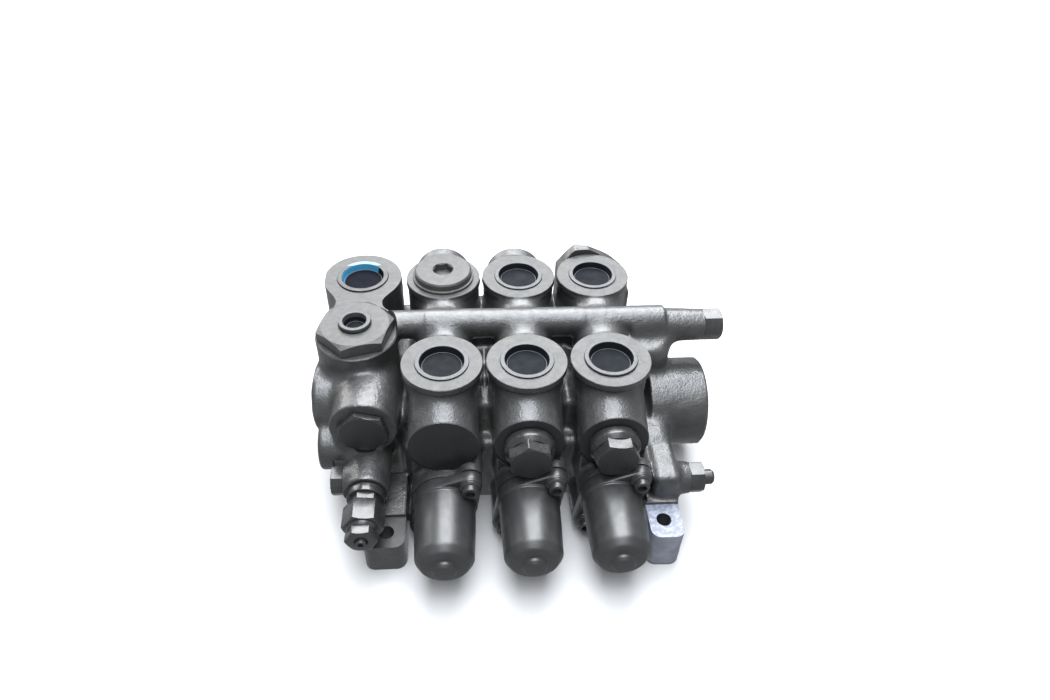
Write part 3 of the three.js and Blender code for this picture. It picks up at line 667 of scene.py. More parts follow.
def bore(axis, centre, radius, mouth, bottom, way, break_edge=0.6, sides=SMALL):
    """A bore with a broken edge at its mouth. way is +1 where the mouth looks up its axis."""
    out = mouth + way * 1.0
    wide = radius + break_edge + 1.0
    return turned(axis, centre, [(radius, bottom), (radius, mouth - way * break_edge), (wide, out)], sides)


def machining():
    """Every tool that cuts the raw casting, joined into one."""
    tools = [slab((-140, -90, BELOW - 8), (130, 145, 0))]
    for number, x in zip(SECTIONS, SECTION_X):
        tools += section_tools(x, number)
    tools += inlet_tools() + end_tools() + foot_tools()
    return join(tools[0], *tools[1:])


def section_tools(x, number):
    tools = []
    for y in (FRONT_Y, REAR_Y):
        floor = PORT_Z - PORT_DEPTH
        tools.append(spot_face("z", (x, y), RIM_R, PORT_Z, 1, 12, 0.3))
        tools.append(bore("z", (x, y), PORT_BORE_R, PORT_Z, floor, 1, PORT_MOUTH_R - PORT_BORE_R))
        tools.append(rod("z", (x, y), PASSAGE_R, SPOOL_Z, floor + 1))
    tools.append(rod("y", (x, SPOOL_Z), SPOOL_R + GAP, FRONT_SEAT - 5, REAR_SEAT + 5))
    tools.append(eared(x, SPOOL_BOSS_R + 1.5, EAR_R + 1.5, FRONT_SEAT - 9, FRONT_SEAT))
    tools.append(eared(x, SPOOL_BOSS_R + 1.5, EAR_R + 1.5, REAR_SEAT, REAR_SEAT + 9))
    for ear in ears(x):
        tools.append(rod("y", ear, SCREW_HOLE_R, FRONT_SEAT - 2, FRONT_SEAT + SCREW_TAPPED))
        tools.append(rod("y", ear, SCREW_HOLE_R, REAR_SEAT - SCREW_TAPPED, REAR_SEAT + 2))
    tools.append(spot_face("y", (x, CAVITY_Z), CAVITY_BOSS_R + 0.2, CAVITY_FACE, -1, 4, 0.5))
    if number > 1:
        tools.append(bore("y", (x, CAVITY_Z), CAVITY_R, CAVITY_FACE, -14, -1, 0.4))
        tools.append(rod("y", (x, CAVITY_Z), 5.5, -15, FRONT_Y))
    return tools


def eared(x, radius, ear_radius, start, end):
    """A round plate with two diagonal screw ears, its corners blended by straight tangents."""
    centre = np.array([x, SPOOL_Z])
    points = []
    for ear in ears(x):
        ear = np.array(ear)
        gap = ear - centre
        spread = math.acos((radius - ear_radius) / np.linalg.norm(gap))
        heading = math.atan2(gap[1], gap[0])
        turns = np.linspace(heading - spread, heading + spread, 17)
        points += [ear + ear_radius * np.array([math.cos(t), math.sin(t)]) for t in turns]
        back = np.linspace(heading + spread, heading + math.pi - spread, 15)[1:-1]
        points += [centre + radius * np.array([math.cos(t), math.sin(t)]) for t in back]
    bm = bmesh.new()
    across, up = np.array(points).T
    ends = []
    for along in (start, end):
        place = on_axis("y", (0, 0), across, up, along) * MM
        ends.append([bm.verts.new(p) for p in place])
    bm.faces.new(ends[0])
    bm.faces.new(ends[1])
    for i in range(len(points)):
        bm.faces.new([ends[0][i - 1], ends[0][i], ends[1][i], ends[1][i - 1]])
    return from_bmesh("eared", bm)


def inlet_tools():
    floor = PORT_Z - PORT_DEPTH
    above = PORT_Z + 9
    recess, face = INLET_PLUG_FACE - 7, INLET_PLUG_FACE
    return [
        rod("z", INLET_AT, INLET_R + 2, PORT_Z, above, FINE),
        slab((-127, 38, PORT_Z), (-84, 80, above)),
        slab((-142, 50, 64), (INLET_X - 24.6, 118, above)),
        bore("z", INLET_AT, INLET_BORE, PORT_Z, floor, 1, INLET_MOUTH_R - INLET_BORE),
        rod("z", INLET_AT, 10, CAVITY_Z, floor + 1),
        rod("y", (INLET_X, CAVITY_Z), 9, GAUGE_Y, INLET_Y),
        spot_face("z", GAUGE_AT, GAUGE_R, GAUGE_FACE, 1),
        bore("z", GAUGE_AT, GAUGE_BORE, GAUGE_FACE, GAUGE_FACE - 17, 1),
        rod("z", GAUGE_AT, 9, RELIEF_Z, GAUGE_FACE - 16),
        turned("y", INLET_PLUG_AT, [(16.4, recess), (16.2, face)]),
        bore("y", INLET_PLUG_AT, 11.5, face, -3, -1),
        rod("y", INLET_PLUG_AT, 7, -4, GAUGE_Y),
        spot_face("y", RELIEF_AT, 14, RELIEF_FACE, -1, 6),
        bore("y", RELIEF_AT, 9.3, RELIEF_FACE, -18, -1),
        rod("y", RELIEF_AT, 5, -19, GAUGE_Y),
    ]


def end_tools():
    return [
        spot_face("x", TANK_AT, TANK_R, TANK_END, 1, 8, 1.6),
        bore("x", TANK_AT, TANK_BORE, TANK_END, TANK_END - 20, 1, TANK_MOUTH_R - TANK_BORE, FINE),
        spot_face("x", GALLERY_END_AT, 12, GALLERY_END, 1, 8, 0.4),
        bore("x", GALLERY_END_AT, BORE_GALLERY, GALLERY_END, GALLERY_END - 14, 1),
        rod("x", GALLERY_END_AT, 5, -102, GALLERY_END),
        spot_face("x", RIGHT_AT, 12, RIGHT_END, 1, 8, 0.4),
        bore("x", RIGHT_AT, BORE_SIDE, RIGHT_END, RIGHT_END - 13, 1),
        spot_face("x", LEFT_AT, 12, LEFT_END, -1, 8, 0.4),
        bore("x", LEFT_AT, BORE_SIDE, LEFT_END, LEFT_END + 7, -1),
    ]


def foot_tools():
    tools = []
    for x0, x1, hole_x, hole_y, tip, root, top in FEET:
        way = math.copysign(1, tip - root)
        y0, y1 = sorted((tip + way * 3, hole_y - way * FOOT_PAD))
        tools.append(slab((x0 - 3, y0, top), (x1 + 3, y1, top + 8)))
        tools.append(rod("z", (hole_x, hole_y), FOOT_HOLE_R, -2, top + 2))
    return tools


def face_values(obj, kind):
    """The center or the normal of every face of a mesh, one row a face."""
    polygons = obj.data.polygons
    values = np.empty(len(polygons) * 3, np.float32)
    polygons.foreach_get(kind, values)
    return values.reshape(-1, 3)


def set_materials(obj, index):
    """Gives every face the material in the slot of that number."""
    obj.data.polygons.foreach_set("material_index", index.astype(np.int32))


FACE_MATERIALS = ("cast_paint", "port_face_paint", "inlet_face_paint", "gauge_face_paint",
                  "tank_face_paint", "foot_pad_painted_glare", "plain_face_paint", "foot_front_painted_light")
SQUARE = 0.995  # how nearly a face's normal lies along an axis if the face was machined
INLET_SIDE = -76  # the inlet's own faces lie to the left of this x


def assign_faces(body):
    """Gives the machined faces of the casting their own materials."""
    x, y, z = (face_values(body, "center") / MM).T
    nx, ny, nz = face_values(body, "normal").T
    index = np.zeros(len(x), np.int32)
    paint = FACE_MATERIALS.index
    near_inlet = x < INLET_SIDE
    upward = nz > SQUARE
    top = upward & (np.abs(z - PORT_Z) < 0.15)
    index[top & ~near_inlet] = paint("port_face_paint")
    index[top & near_inlet] = paint("inlet_face_paint")
    index[upward & (np.abs(z - GAUGE_FACE) < 0.15) & near_inlet] = paint("gauge_face_paint")
    index[(nx > SQUARE) & (np.abs(x - TANK_END) < 0.15)] = paint("tank_face_paint")
    for x0, x1, _, hole_y, tip, root, top_z in FEET:
        y0, y1 = sorted((tip, hole_y + math.copysign(FOOT_PAD, root - tip)))
        inside = (x > x0 - 2) & (x < x1 + 2) & (y > y0 - 2) & (y < y1 + 1)
        # Painted light on the front right foot only: its pad and front faces get lighter bluish colours
        # for the light falling there, while the other feet, in shade, keep plain paint.
        front_right = x0 > 0 and tip < root
        pad = inside & upward & (np.abs(z - top_z) < 0.15)
        index[pad] = paint("foot_pad_painted_glare" if front_right else "plain_face_paint")
        if front_right:
            # Painted light on this foot's front and side faces near its tip.
            index[inside & (y < tip + 14) & (nz < 0.9) & (z > 1)] = paint("foot_front_painted_light")
    index[(nz < -SQUARE) & (np.abs(z) < 0.1)] = paint("plain_face_paint")
    for face in (FRONT_SEAT, CAVITY_FACE, REAR_SEAT, RELIEF_FACE):
        index[(np.abs(ny) > SQUARE) & (np.abs(y - face) < 0.1)] = paint("plain_face_paint")
    set_materials(body, index)


def add_casting():
    body = cut(raw_casting(), machining())
    piece(body, "valve_body", "painted_iron", *FACE_MATERIALS, name="casting_look")
    assign_faces(body)
    smooth(body, 40)


# ---- Pieces on the casting ----
def piece(obj, node, slot, *paints, body="casting", name=None):
    """Names a finished mesh, gives it its materials and puts it in the place of its CAD node."""
    renamed(obj, name or f"{node}_look")
    obj.data.materials.clear()
    for paint in paints:
        obj.data.materials.append(MATERIALS[paint])
    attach(obj, body)
    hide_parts(node)


def socket(axis, centre, flats, start, end, turn=0.0):
    return rod(axis, centre, flats / math.sqrt(3), start, end, 6, turn)


def screw_mesh(at, seat, way, tip):
    """A socket head screw on a domed washer. seat is where it rests and way points to its head."""
    head = seat + way * SCREW_HEAD_LENGTH
    profile = [(SCREW_SHANK - 0.5, tip), (SCREW_SHANK, tip + way * 0.6), (SCREW_SHANK, seat),
               (6.1, seat), (6.1, seat + way * 0.5, 0.2), (5.0, seat + way * 1.5, 0.5),
               (SCREW_HEAD_R, seat + way * 1.6), (SCREW_HEAD_R, head, 0.9)]
    key = socket("y", at, 5.0, *sorted((head + way, head - way * 3)))
    return smooth(cut(turned("y", at, profile, SMALL), key), 30)


def cap_mesh(x):
    """The spring cap over the front end of a spool, with its two-eared flange."""
    back = FRONT_SEAT - GAP
    front = back - CAP_FLANGE
    at = (x, SPOOL_Z)
    shell = [(5.6, -97, 0.4), (7.0, -95.4, 0.8), (7.6, -93.9, 1.0), (13.4, -93.2, 3.4),
             (16.9, -88.4, 3.6), (17.7, -70), (18.1, front - 1, 1.2), (19.2, front, 0.8), (19.2, back)]
    lip = [(6.4, front - 0.8, 0.6), (6.9, front + 1)]
    plate = soften(eared(x, 19.2, EAR_R, front, back), 1.1, 3)
    made = join(turned("y", at, shell), plate, *[turned("y", ear, lip, SMALL) for ear in ears(x)])
    hollow = [(9, -90, 1.5), (13.5, -86, 2), (13.5, back + 1)]
    holes = [rod("y", ear, SCREW_HOLE_R, front - 2, back + 1) for ear in ears(x)]
    return smooth(cut(made, turned("y", at, hollow, SMALL), *holes), 33)


def plate_mesh(x):
    """The rear retaining plate, with a scraper ring round the spool."""
    start, end = REAR_SEAT + GAP, REAR_SEAT + GAP + PLATE_THICK
    inner = 8.6
    profile = [(inner, start + 0.5), (12.5, start + 0.5), (12.5, end + 1.2, 0.5), (10.2, end + 1.2, 0.4),
               (inner, end - 0.3, 0.3)]
    plate = soften(eared(x, 18, EAR_R, start, end), 0.9, 3)
    ring = lathe("y", (x, SPOOL_Z), profile)
    holes = [rod("y", ear, SCREW_HOLE_R, start - 1, end + 1) for ear in ears(x)]
    middle_hole = rod("y", (x, SPOOL_Z), inner, start - 1, end + 0.4, FINE)
    return smooth(join(cut(plate, middle_hole, *holes), ring), 33)


def land(start, end):
    """One control land of a spool, with its balance grooves."""
    points = [(SPOOL_R, start, 0.4)]
    middle_y = (start + end) / 2
    for groove in (middle_y - 3, middle_y, middle_y + 3):
        points += [(SPOOL_R, groove - 0.4), (SPOOL_R - 0.4, groove - 0.3)]
        points += [(SPOOL_R - 0.4, groove + 0.3), (SPOOL_R, groove + 0.4)]
    return points + [(SPOOL_R, end, 0.4)]


def spool_mesh(x):
    """A control spool with its tongue and eye for the lever."""
    at = (x, SPOOL_Z)
    profile = [(5.2, -50, 0.6), (5.2, -37), *land(-37, -14), (6, -13, 0.8), (6, 13, 0.8),
               *land(14, 28), (6, 29, 0.8), (6, 55, 0.8), *land(56, 70), (6, 71, 0.8), (6, 97, 0.8),
               *land(98, 115), (8, 115.3), (8, 138, 1.2), (6.4, 141, 0.8)]
    eye = [(5.5, x - 5), (4, x - 3), (4, x + 3), (5.5, x + 5)]
    half, tongue_r, eye_y = 3.5, 7.5, 152
    blade = join(slab((x - half, 139, SPOOL_Z - tongue_r), (x + half, eye_y, SPOOL_Z + tongue_r)),
                 rod("x", (eye_y, SPOOL_Z), tongue_r, x - half, x + half, FINE))
    blade = soften(blade, 0.6)
    made = cut(join(turned("y", at, profile), blade), turned("x", (eye_y, SPOOL_Z), eye, SMALL),
               rod("y", at, 3.3, -51, -40))
    return smooth(made, 30)


def add_spool_set(x, number):
    at = (x, SPOOL_Z)
    unit = f"spool_unit_{number}"
    piece(spool_mesh(x), f"spool_{number}", "spool_steel", "chromed_steel", body=unit)
    add_spool_bolt(at, number, unit)
    outer = [(3.4, -77.5), (12, -77.5, 0.5), (12, -75.5, 0.3), (7.4, -75.5), (7, -73.6, 0.4),
             (3.4, -73.6, 0.2)]
    add_seat(at, outer, f"spring_seat_outer_{number}", unit)
    inner = [(6, -49, 0.2), (7.4, -49, 0.4), (7.6, -47.3), (12.5, -47.3, 0.5), (12.5, -45.3, 0.3),
             (6, -45.3)]
    add_seat(at, inner, f"spring_seat_inner_{number}", "casting")
    add_spring(f"centring_spring_{number}", at, 9.5, 1.3, CENTRING_FIXED, CENTRING_MOVING, 6)
    piece(cap_mesh(x), f"spool_cap_{number}", "painted_iron", "satin_paint")
    cap_face = FRONT_SEAT - GAP - CAP_FLANGE - 0.9
    add_screws(x, f"cap_{number}", cap_face, -1, FRONT_SEAT + 14)
    piece(plate_mesh(x), f"rear_plate_{number}", "painted_iron", "cast_paint")
    add_screws(x, f"rear_{number}", REAR_SEAT + PLATE_THICK + 2 * GAP, 1, REAR_SEAT - 12)


def add_spool_bolt(at, number, unit):
    profile = [(6.5, -82, 0.7), (6.5, -77.8, 0.3), (3, -77.8), (3, -41.6), (2.5, -41)]
    bolt = cut(turned("y", at, profile, SMALL), socket("y", at, 5, -83, -79))
    piece(smooth(bolt, 30), f"spool_bolt_{number}", "zinc_steel", "zinc_plate", body=unit)


def add_seat(at, profile, node, body):
    piece(smooth(lathe("y", at, profile), 30), node, "zinc_steel", "zinc_plate", body=body)


def add_screws(x, group, seat, way, tip):
    for i, ear in enumerate(ears(x), 1):
        piece(screw_mesh(ear, seat, way, tip), f"{group}_screw_{i}", "painted_steel", "satin_paint")


def add_spring(node, at, radius, wire, fixed, moving, turns):
    """A coil spring from its fixed end on the casting to its moving seat."""
    spring = smooth(coil(at, radius, wire, *sorted((fixed, moving)), turns), 60)
    renamed(spring, f"{node}_look")
    spring.data.materials.append(MATERIALS["spring_wire"])
    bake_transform(spring)
    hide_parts(node)


def plain_ends(obj, axis):
    """Second, duller material on the faces that look along the axis."""
    along = np.abs(face_values(obj, "normal")[:, "xyz".index(axis)])
    set_materials(obj, along > 0.99)


def add_front_plug(x, number, turn):
    """A hexagon cap over a load check, with the poppet and spring behind it."""
    at = (x, CAVITY_Z)
    seat = CAVITY_FACE - GAP
    profile = [(12.6, -44), (15, seat - 5.2, 0.8), (15, seat - 0.4, 0.3), (13.6, seat), (11, seat),
               (11, -29.4), (9.8, -28)]
    head = hex_bar("y", at, 23.6, -51, -41, turn, (True, False))
    made = cut(join(turned("y", at, profile), head), rod("y", at, 6.2, -34, -27))
    piece(smooth(made, 28), f"front_plug_{number}", "painted_steel", "plug_paint", "plain_face_paint")
    plain_ends(made, "y")
    unit = f"load_check_unit_{number}"
    profile = [(7.5, -21, 0.3), (7.5, -15, 0.3), (5, -14.4, 0.3), (3, -11, 0.5)]
    poppet = smooth(turned("y", at, profile, SMALL), 30)
    piece(poppet, f"load_check_poppet_{number}", "spool_steel", "chromed_steel", body=unit)
    add_spring(f"load_check_spring_{number}", at, 4.6, 0.8, CHECK_FIXED, CHECK_MOVING, 5)


# ---- Port caps and plugs ----
def port_cap_mesh(axis, at, face, flange, inner, skirt, rise):
    """A push-in transit cap: a thin flange, a dished floor with a raised ring, and a skirt."""
    half = [(inner - 1.9, -3.4, 0.2), (inner - 1.75, -2.9, 0.2), (inner - 1.35, -2.9, 0.2),
            (inner - 1.2, -3.3, 0.1), (inner - 0.9, -3.3, 0.2), (inner - 0.4, -0.4, 0.6),
            (inner, rise, 0.3), (flange, rise, 0.35), (flange, GAP, 0.1), (skirt, GAP), (skirt, -7.6),
            (skirt - 0.35, -8), (skirt - 0.35, -8.8), (skirt, -9.2), (skirt, -CAP_SKIRT, 0.4),
            (skirt - 0.9, -CAP_SKIRT, 0.3), (skirt - 0.9, -4.6, 0.4)]
    return turned(axis, at, [(r, face + along, *rest) for r, along, *rest in half])


def dark_floor(obj, axis, at, face, inner):
    """Second material on a port cap's floor and inner wall, where the spray paint hardly reached."""
    a, b, along = split(axis, *(face_values(obj, "center") / MM).T)
    radius = np.hypot(a - at[0], b - at[1])
    height = along - face
    ridge = (radius > inner - 1.85) & (radius < inner - 1.3) & (height > -3.1)
    within = (radius < inner + 0.03) & (height > -3.6) & (height < 0.5) & ~ridge
    set_materials(obj, within)


def add_port_cap(name, axis, at, face, flange, inner, skirt, rise, slot="painted_plastic",
                 paints=("cap_ring_paint", "bare_plastic")):
    made = port_cap_mesh(axis, at, face, flange, inner, skirt, rise)
    piece(smooth(made, 33), f"port_cap_{name}", slot, *paints, body=f"port_cap_{name}_unit")
    dark_floor(made, axis, at, face, inner)


def add_port_caps():
    sizes = PORT_CAP_R, PORT_CAP_INNER_R, PORT_BORE_R - CAP_CLEARANCE
    for number, x in zip(SECTIONS, SECTION_X):
        rise = 1.4 if number == 3 else 0.9
        add_port_cap(f"front_{number}", "z", (x, FRONT_Y), PORT_Z, *sizes, rise)
        if number > 1:
            add_port_cap(f"rear_{number}", "z", (x, REAR_Y), PORT_Z, *sizes, 0.9)
    add_port_cap("inlet", "z", INLET_AT, PORT_Z, 16.6, 13.7, INLET_BORE - CAP_CLEARANCE, 1.0,
                 "blue_plastic", ("blue_ring_plastic", "blue_inside_plastic"))
    add_port_cap("gauge", "z", GAUGE_AT, GAUGE_TOP, 9.7, 7.2, 7.9, 2.6)
    add_port_cap("tank", "x", TANK_AT, TANK_END, 23, 19.4, TANK_BORE - CAP_CLEARANCE, 1.5)


def add_gauge_adapter():
    seat, top = GAUGE_FACE, GAUGE_TOP
    head = hex_bar("z", GAUGE_AT, 41.5, seat + GAP, top, GAUGE_TURN, (False, True))
    stem = [(12.9, seat - 15), (13.8, seat - 14), (13.8, seat + 2)]
    hole = [(8.3, top - 19), (8.3, top - 1.8), (10.1, top), (11.1, top + 1)]
    made = join(head, turned("z", GAUGE_AT, stem))
    made = cut(made, turned("z", GAUGE_AT, hole), rod("z", GAUGE_AT, 7, seat - 16, top - 18))
    piece(smooth(made, 26), "gauge_adapter", "painted_steel", "adapter_paint")


def add_rear_port_plug():
    at = (SECTION_X[0], REAR_Y)
    base = PORT_Z + GAP
    disc = [(12.4, base - 14), (13.3, base - 13), (13.3, base), (20, base, 0.2), (20, base + 1.2, 0.5),
            (18.7, base + 1.5, 0.3), (18.6, base + 4.9, 0.9), (17.6, base + 6, 0.5)]
    countersink = [(6.1, base + 5.2), (7.4, base + 6.5)]
    key = socket("z", at, 12, base + 1, base + 9, PLUG_SOCKET_TURN)
    plug = cut(turned("z", at, disc), key, turned("z", at, countersink, SMALL))
    piece(smooth(plug, 28), "port_plug_rear_1", "painted_steel", "plug_disc_paint")


def end_plug(axis, at, node, flats, seat, tip, stem_r, stem_end, turn, way, tail=()):
    """A hexagon plug in the casting, with its threaded stem and perhaps a turned tail on its head."""
    start, end = sorted((seat, tip))
    head = hex_bar(axis, at, flats, start, end, turn, (way < 0, way > 0))
    stem = [(stem_r - 0.7, stem_end), (stem_r, stem_end + way * 0.8), (stem_r, seat + way)]
    made = join(head, *[turned(axis, at, profile, SMALL) for profile in (stem, *tail)])
    piece(smooth(made, 28), node, "painted_steel", "plug_paint", "plain_face_paint")
    plain_ends(made, axis)


def add_side_plugs():
    seat = GALLERY_END + GAP
    end_plug("x", GALLERY_END_AT, "gallery_plug", 18, seat, 128, 6.5, GALLERY_END - 12, 0, 1)
    tail = [(4.6, 106), (4.6, 112.6, 0.6), (3.5, 114, 0.4)]
    seat = RIGHT_END + GAP
    end_plug("x", RIGHT_AT, "lower_plug_right", 17, seat, 107, 6, RIGHT_END - 11, 0, 1, [tail])
    seat = LEFT_END - GAP
    end_plug("x", LEFT_AT, "lower_plug_left", 16, seat, -117, 6, LEFT_END + 3.5, 0, -1)
    seat = INLET_PLUG_FACE - GAP
    end_plug("y", INLET_PLUG_AT, "inlet_front_plug", 27, seat, seat - 4, 11.2, -8,
             INLET_PLUG_TURN, -1)


# ---- Relief valve ----
def add_relief():
    add_relief_body()
    add_relief_nut()
    add_relief_screw()
    profile = [(2.6, -34, 0.4), (2.6, -30.5), (5.8, -30.5, 0.4), (5.8, -27, 0.3), (1.6, -21.5, 0.4)]
    unit = "relief_poppet_unit"
    poppet = smooth(turned("y", RELIEF_AT, profile, SMALL), 30)
    piece(poppet, "relief_poppet", "spool_steel", "chromed_steel", body=unit)
    add_spring("relief_spring", RELIEF_AT, 4.4, 0.9, RELIEF_FIXED, RELIEF_MOVING, 7)


def add_relief_body():
    seat = RELIEF_FACE - GAP
    large = hex_bar("y", RELIEF_AT, 21, -71.5, -57, RELIEF_TURN, (True, False))
    small = hex_bar("y", RELIEF_AT, 17, -58, -50, RELIEF_TURN, (False, False))
    profile = [(8.2, -74, 0.5), (9.4, -72.4), (9.4, -70), (7, -69), (7, -52), (11, -51.6, 0.5),
               (11, seat, 0.3), (9, seat), (9, -21), (8, -20)]
    made = join(turned("y", RELIEF_AT, profile), large, small)
    holes = [rod("y", RELIEF_AT, *hole) for hole in ((6.4, -60, -23), (3.4, -75, -59), (3, -24, -19))]
    made = cut(made, *holes)
    piece(smooth(made, 28), "relief_body", "painted_steel", "relief_paint")


def add_relief_nut():
    hole = [(0, -81.5), (4.8, -81), (3.4, -79), (3.4, -73), (0, -73)]
    nut = hex_bar("y", RELIEF_AT, 16.5, -79.8, -74.3, RELIEF_TURN + 0.12, (True, False))
    nut = cut(nut, lathe("y", RELIEF_AT, hole, SMALL))
    piece(smooth(nut, 28), "relief_lock_nut", "painted_steel", "relief_paint", body="relief_nut_unit")


def add_relief_screw():
    profile = [(2.6, -82, 0.3), (3.05, -81.2), (3.05, -57.4), (5.9, -57.4, 0.4), (5.9, -54, 0.3),
               (3.4, -54), (3.2, -52.4, 0.4)]
    screw = cut(turned("y", RELIEF_AT, profile, SMALL), socket("y", RELIEF_AT, 3.1, -83, -79.2))
    piece(smooth(screw, 28), "relief_screw", "painted_steel", "screw_paint", body="relief_screw_unit")


# ---- Materials ----
MATERIALS = {}


class Surface:
    """A Principled material whose roughness, colour and bump come from noise in the object's own axes."""

    def __init__(self, name, colour, roughness, metallic=0.0, specular=0.5):
        material = bpy.data.materials.new(name)
        material.use_nodes = True
        MATERIALS[name] = material
        self.tree = material.node_tree
        self.shader = self.tree.nodes["Principled BSDF"]
        self.colour = (*colour, 1)
        self.shader.inputs["Base Color"].default_value = self.colour
        self.shader.inputs["Roughness"].default_value = roughness
        self.shader.inputs["Metallic"].default_value = metallic
        self.shader.inputs["Specular IOR Level"].default_value = specular
        self.place = self.tree.nodes.new("ShaderNodeTexCoord").outputs["Object"]
        self.height = None

    def node(self, kind, **inputs):
        made = self.tree.nodes.new(kind)
        for key, value in inputs.items():
            self.feed(made.inputs[key.replace("_", " ")], value)
        return made

    def feed(self, entry, value):
        """Links another node's output to a node's input, or sets the input to a plain value."""
        if hasattr(value, "is_output"):
            self.tree.links.new(value, entry)
        else:
            entry.default_value = value

    def noise(self, scale, detail):
        return self.node("ShaderNodeTexNoise", Vector=self.place, Scale=scale, Detail=detail,
                         Roughness=0.55).outputs[0]

    def math(self, operation, a, b=None, c=None):
        made = self.tree.nodes.new("ShaderNodeMath")
        made.operation = operation
        for entry, value in zip(made.inputs, (a, b, c)):
            if value is not None:
                self.feed(entry, value)
        return made.outputs[0]

    def ramp(self, factor, low_at, high_at, low_to, high_to):
        made = self.node("ShaderNodeMapRange", Value=factor, From_Min=low_at, From_Max=high_at,
                         To_Min=low_to, To_Max=high_to)
        return made.outputs["Result"]

    def mottle(self, other, scale, low_at=0.4, high_at=0.62):
        """Lets another colour show through in patches."""
        return self.show(other, self.ramp(self.noise(scale, 4.0), low_at, high_at, 0, 1))

    def show(self, other, share):
        """Mixes another colour over the present one."""
        mix = self.tree.nodes.new("ShaderNodeMix")
        mix.data_type = "RGBA"
        self.tree.links.new(share, mix.inputs[0])
        first, second = (s for s in mix.inputs if s.type == "RGBA")
        result = next(s for s in mix.outputs if s.type == "RGBA")
        base = self.shader.inputs["Base Color"]
        if base.is_linked:
            self.tree.links.new(base.links[0].from_socket, first)
        else:
            first.default_value = self.colour
        second.default_value = (*other, 1)
        self.tree.links.new(result, base)
        return self

    def gloss(self, scale, low_value, high_value):
        """Lets the roughness wander between two values."""
        roughness = self.ramp(self.noise(scale, 3.0), 0.3, 0.7, low_value, high_value)
        self.tree.links.new(roughness, self.shader.inputs["Roughness"])
        return self

    def bump(self, factor, depth, strength=1.0):
        """Adds relief; depth is in millimetres."""
        made = self.node("ShaderNodeBump", Height=factor, Distance=depth * MM, Strength=strength)
        if self.height:
            self.tree.links.new(self.height, made.inputs["Normal"])
        self.height = made.outputs["Normal"]
        for layer in ("Normal", "Coat Normal"):
            self.tree.links.new(self.height, self.shader.inputs[layer])
        return self

    def grain(self, scale, depth, detail=2.0):
        """Adds fine noise relief."""
        return self.bump(self.noise(scale, detail), depth)

    def axes(self):
        apart = self.node("ShaderNodeSeparateXYZ", Vector=self.place)
        return dict(zip("xyz", apart.outputs))

    def radius(self, axis, centre, period=None):
        """Distance from an axis in metres, or from the nearest of a grid of such axes."""
        names = [name for name in "xyz" if name != axis]
        squares = []
        for i, name in enumerate(names):
            value = self.math("SUBTRACT", self.axes()[name], centre[i] * MM)
            if period:
                half = period[i] / 2 * MM
                value = self.math("WRAP", value, half, -half)
            squares.append(self.math("MULTIPLY", value, value))
        return self.math("SQRT", self.math("ADD", *squares))

    def turning(self, radius, pitch, depth):
        """Fine concentric tool marks."""
        wobble = self.math("MULTIPLY", self.noise(90, 1.0), 0.25 * MM)
        phase = self.math("MULTIPLY", self.math("ADD", radius, wobble), 2 * math.pi / (pitch * MM))
        return self.bump(self.math("SINE", phase), depth, 0.6)


BLACK = (0.020, 0.020, 0.0205)
WORN = (0.046, 0.045, 0.043)
FACE = (0.046, 0.0455, 0.044)


def face_paint(name, axis, centre, period=None):
    """Thin black paint over a turned face, which lets the metal's shine through."""
    made = Surface(name, FACE, 0.42, 0.0, 0.5)
    made.mottle((0.066, 0.064, 0.061), 300, 0.42, 0.66).gloss(240, 0.38, 0.48)
    made.turning(made.radius(axis, centre, period), 0.55, 0.012)
    made.grain(900, 0.06)


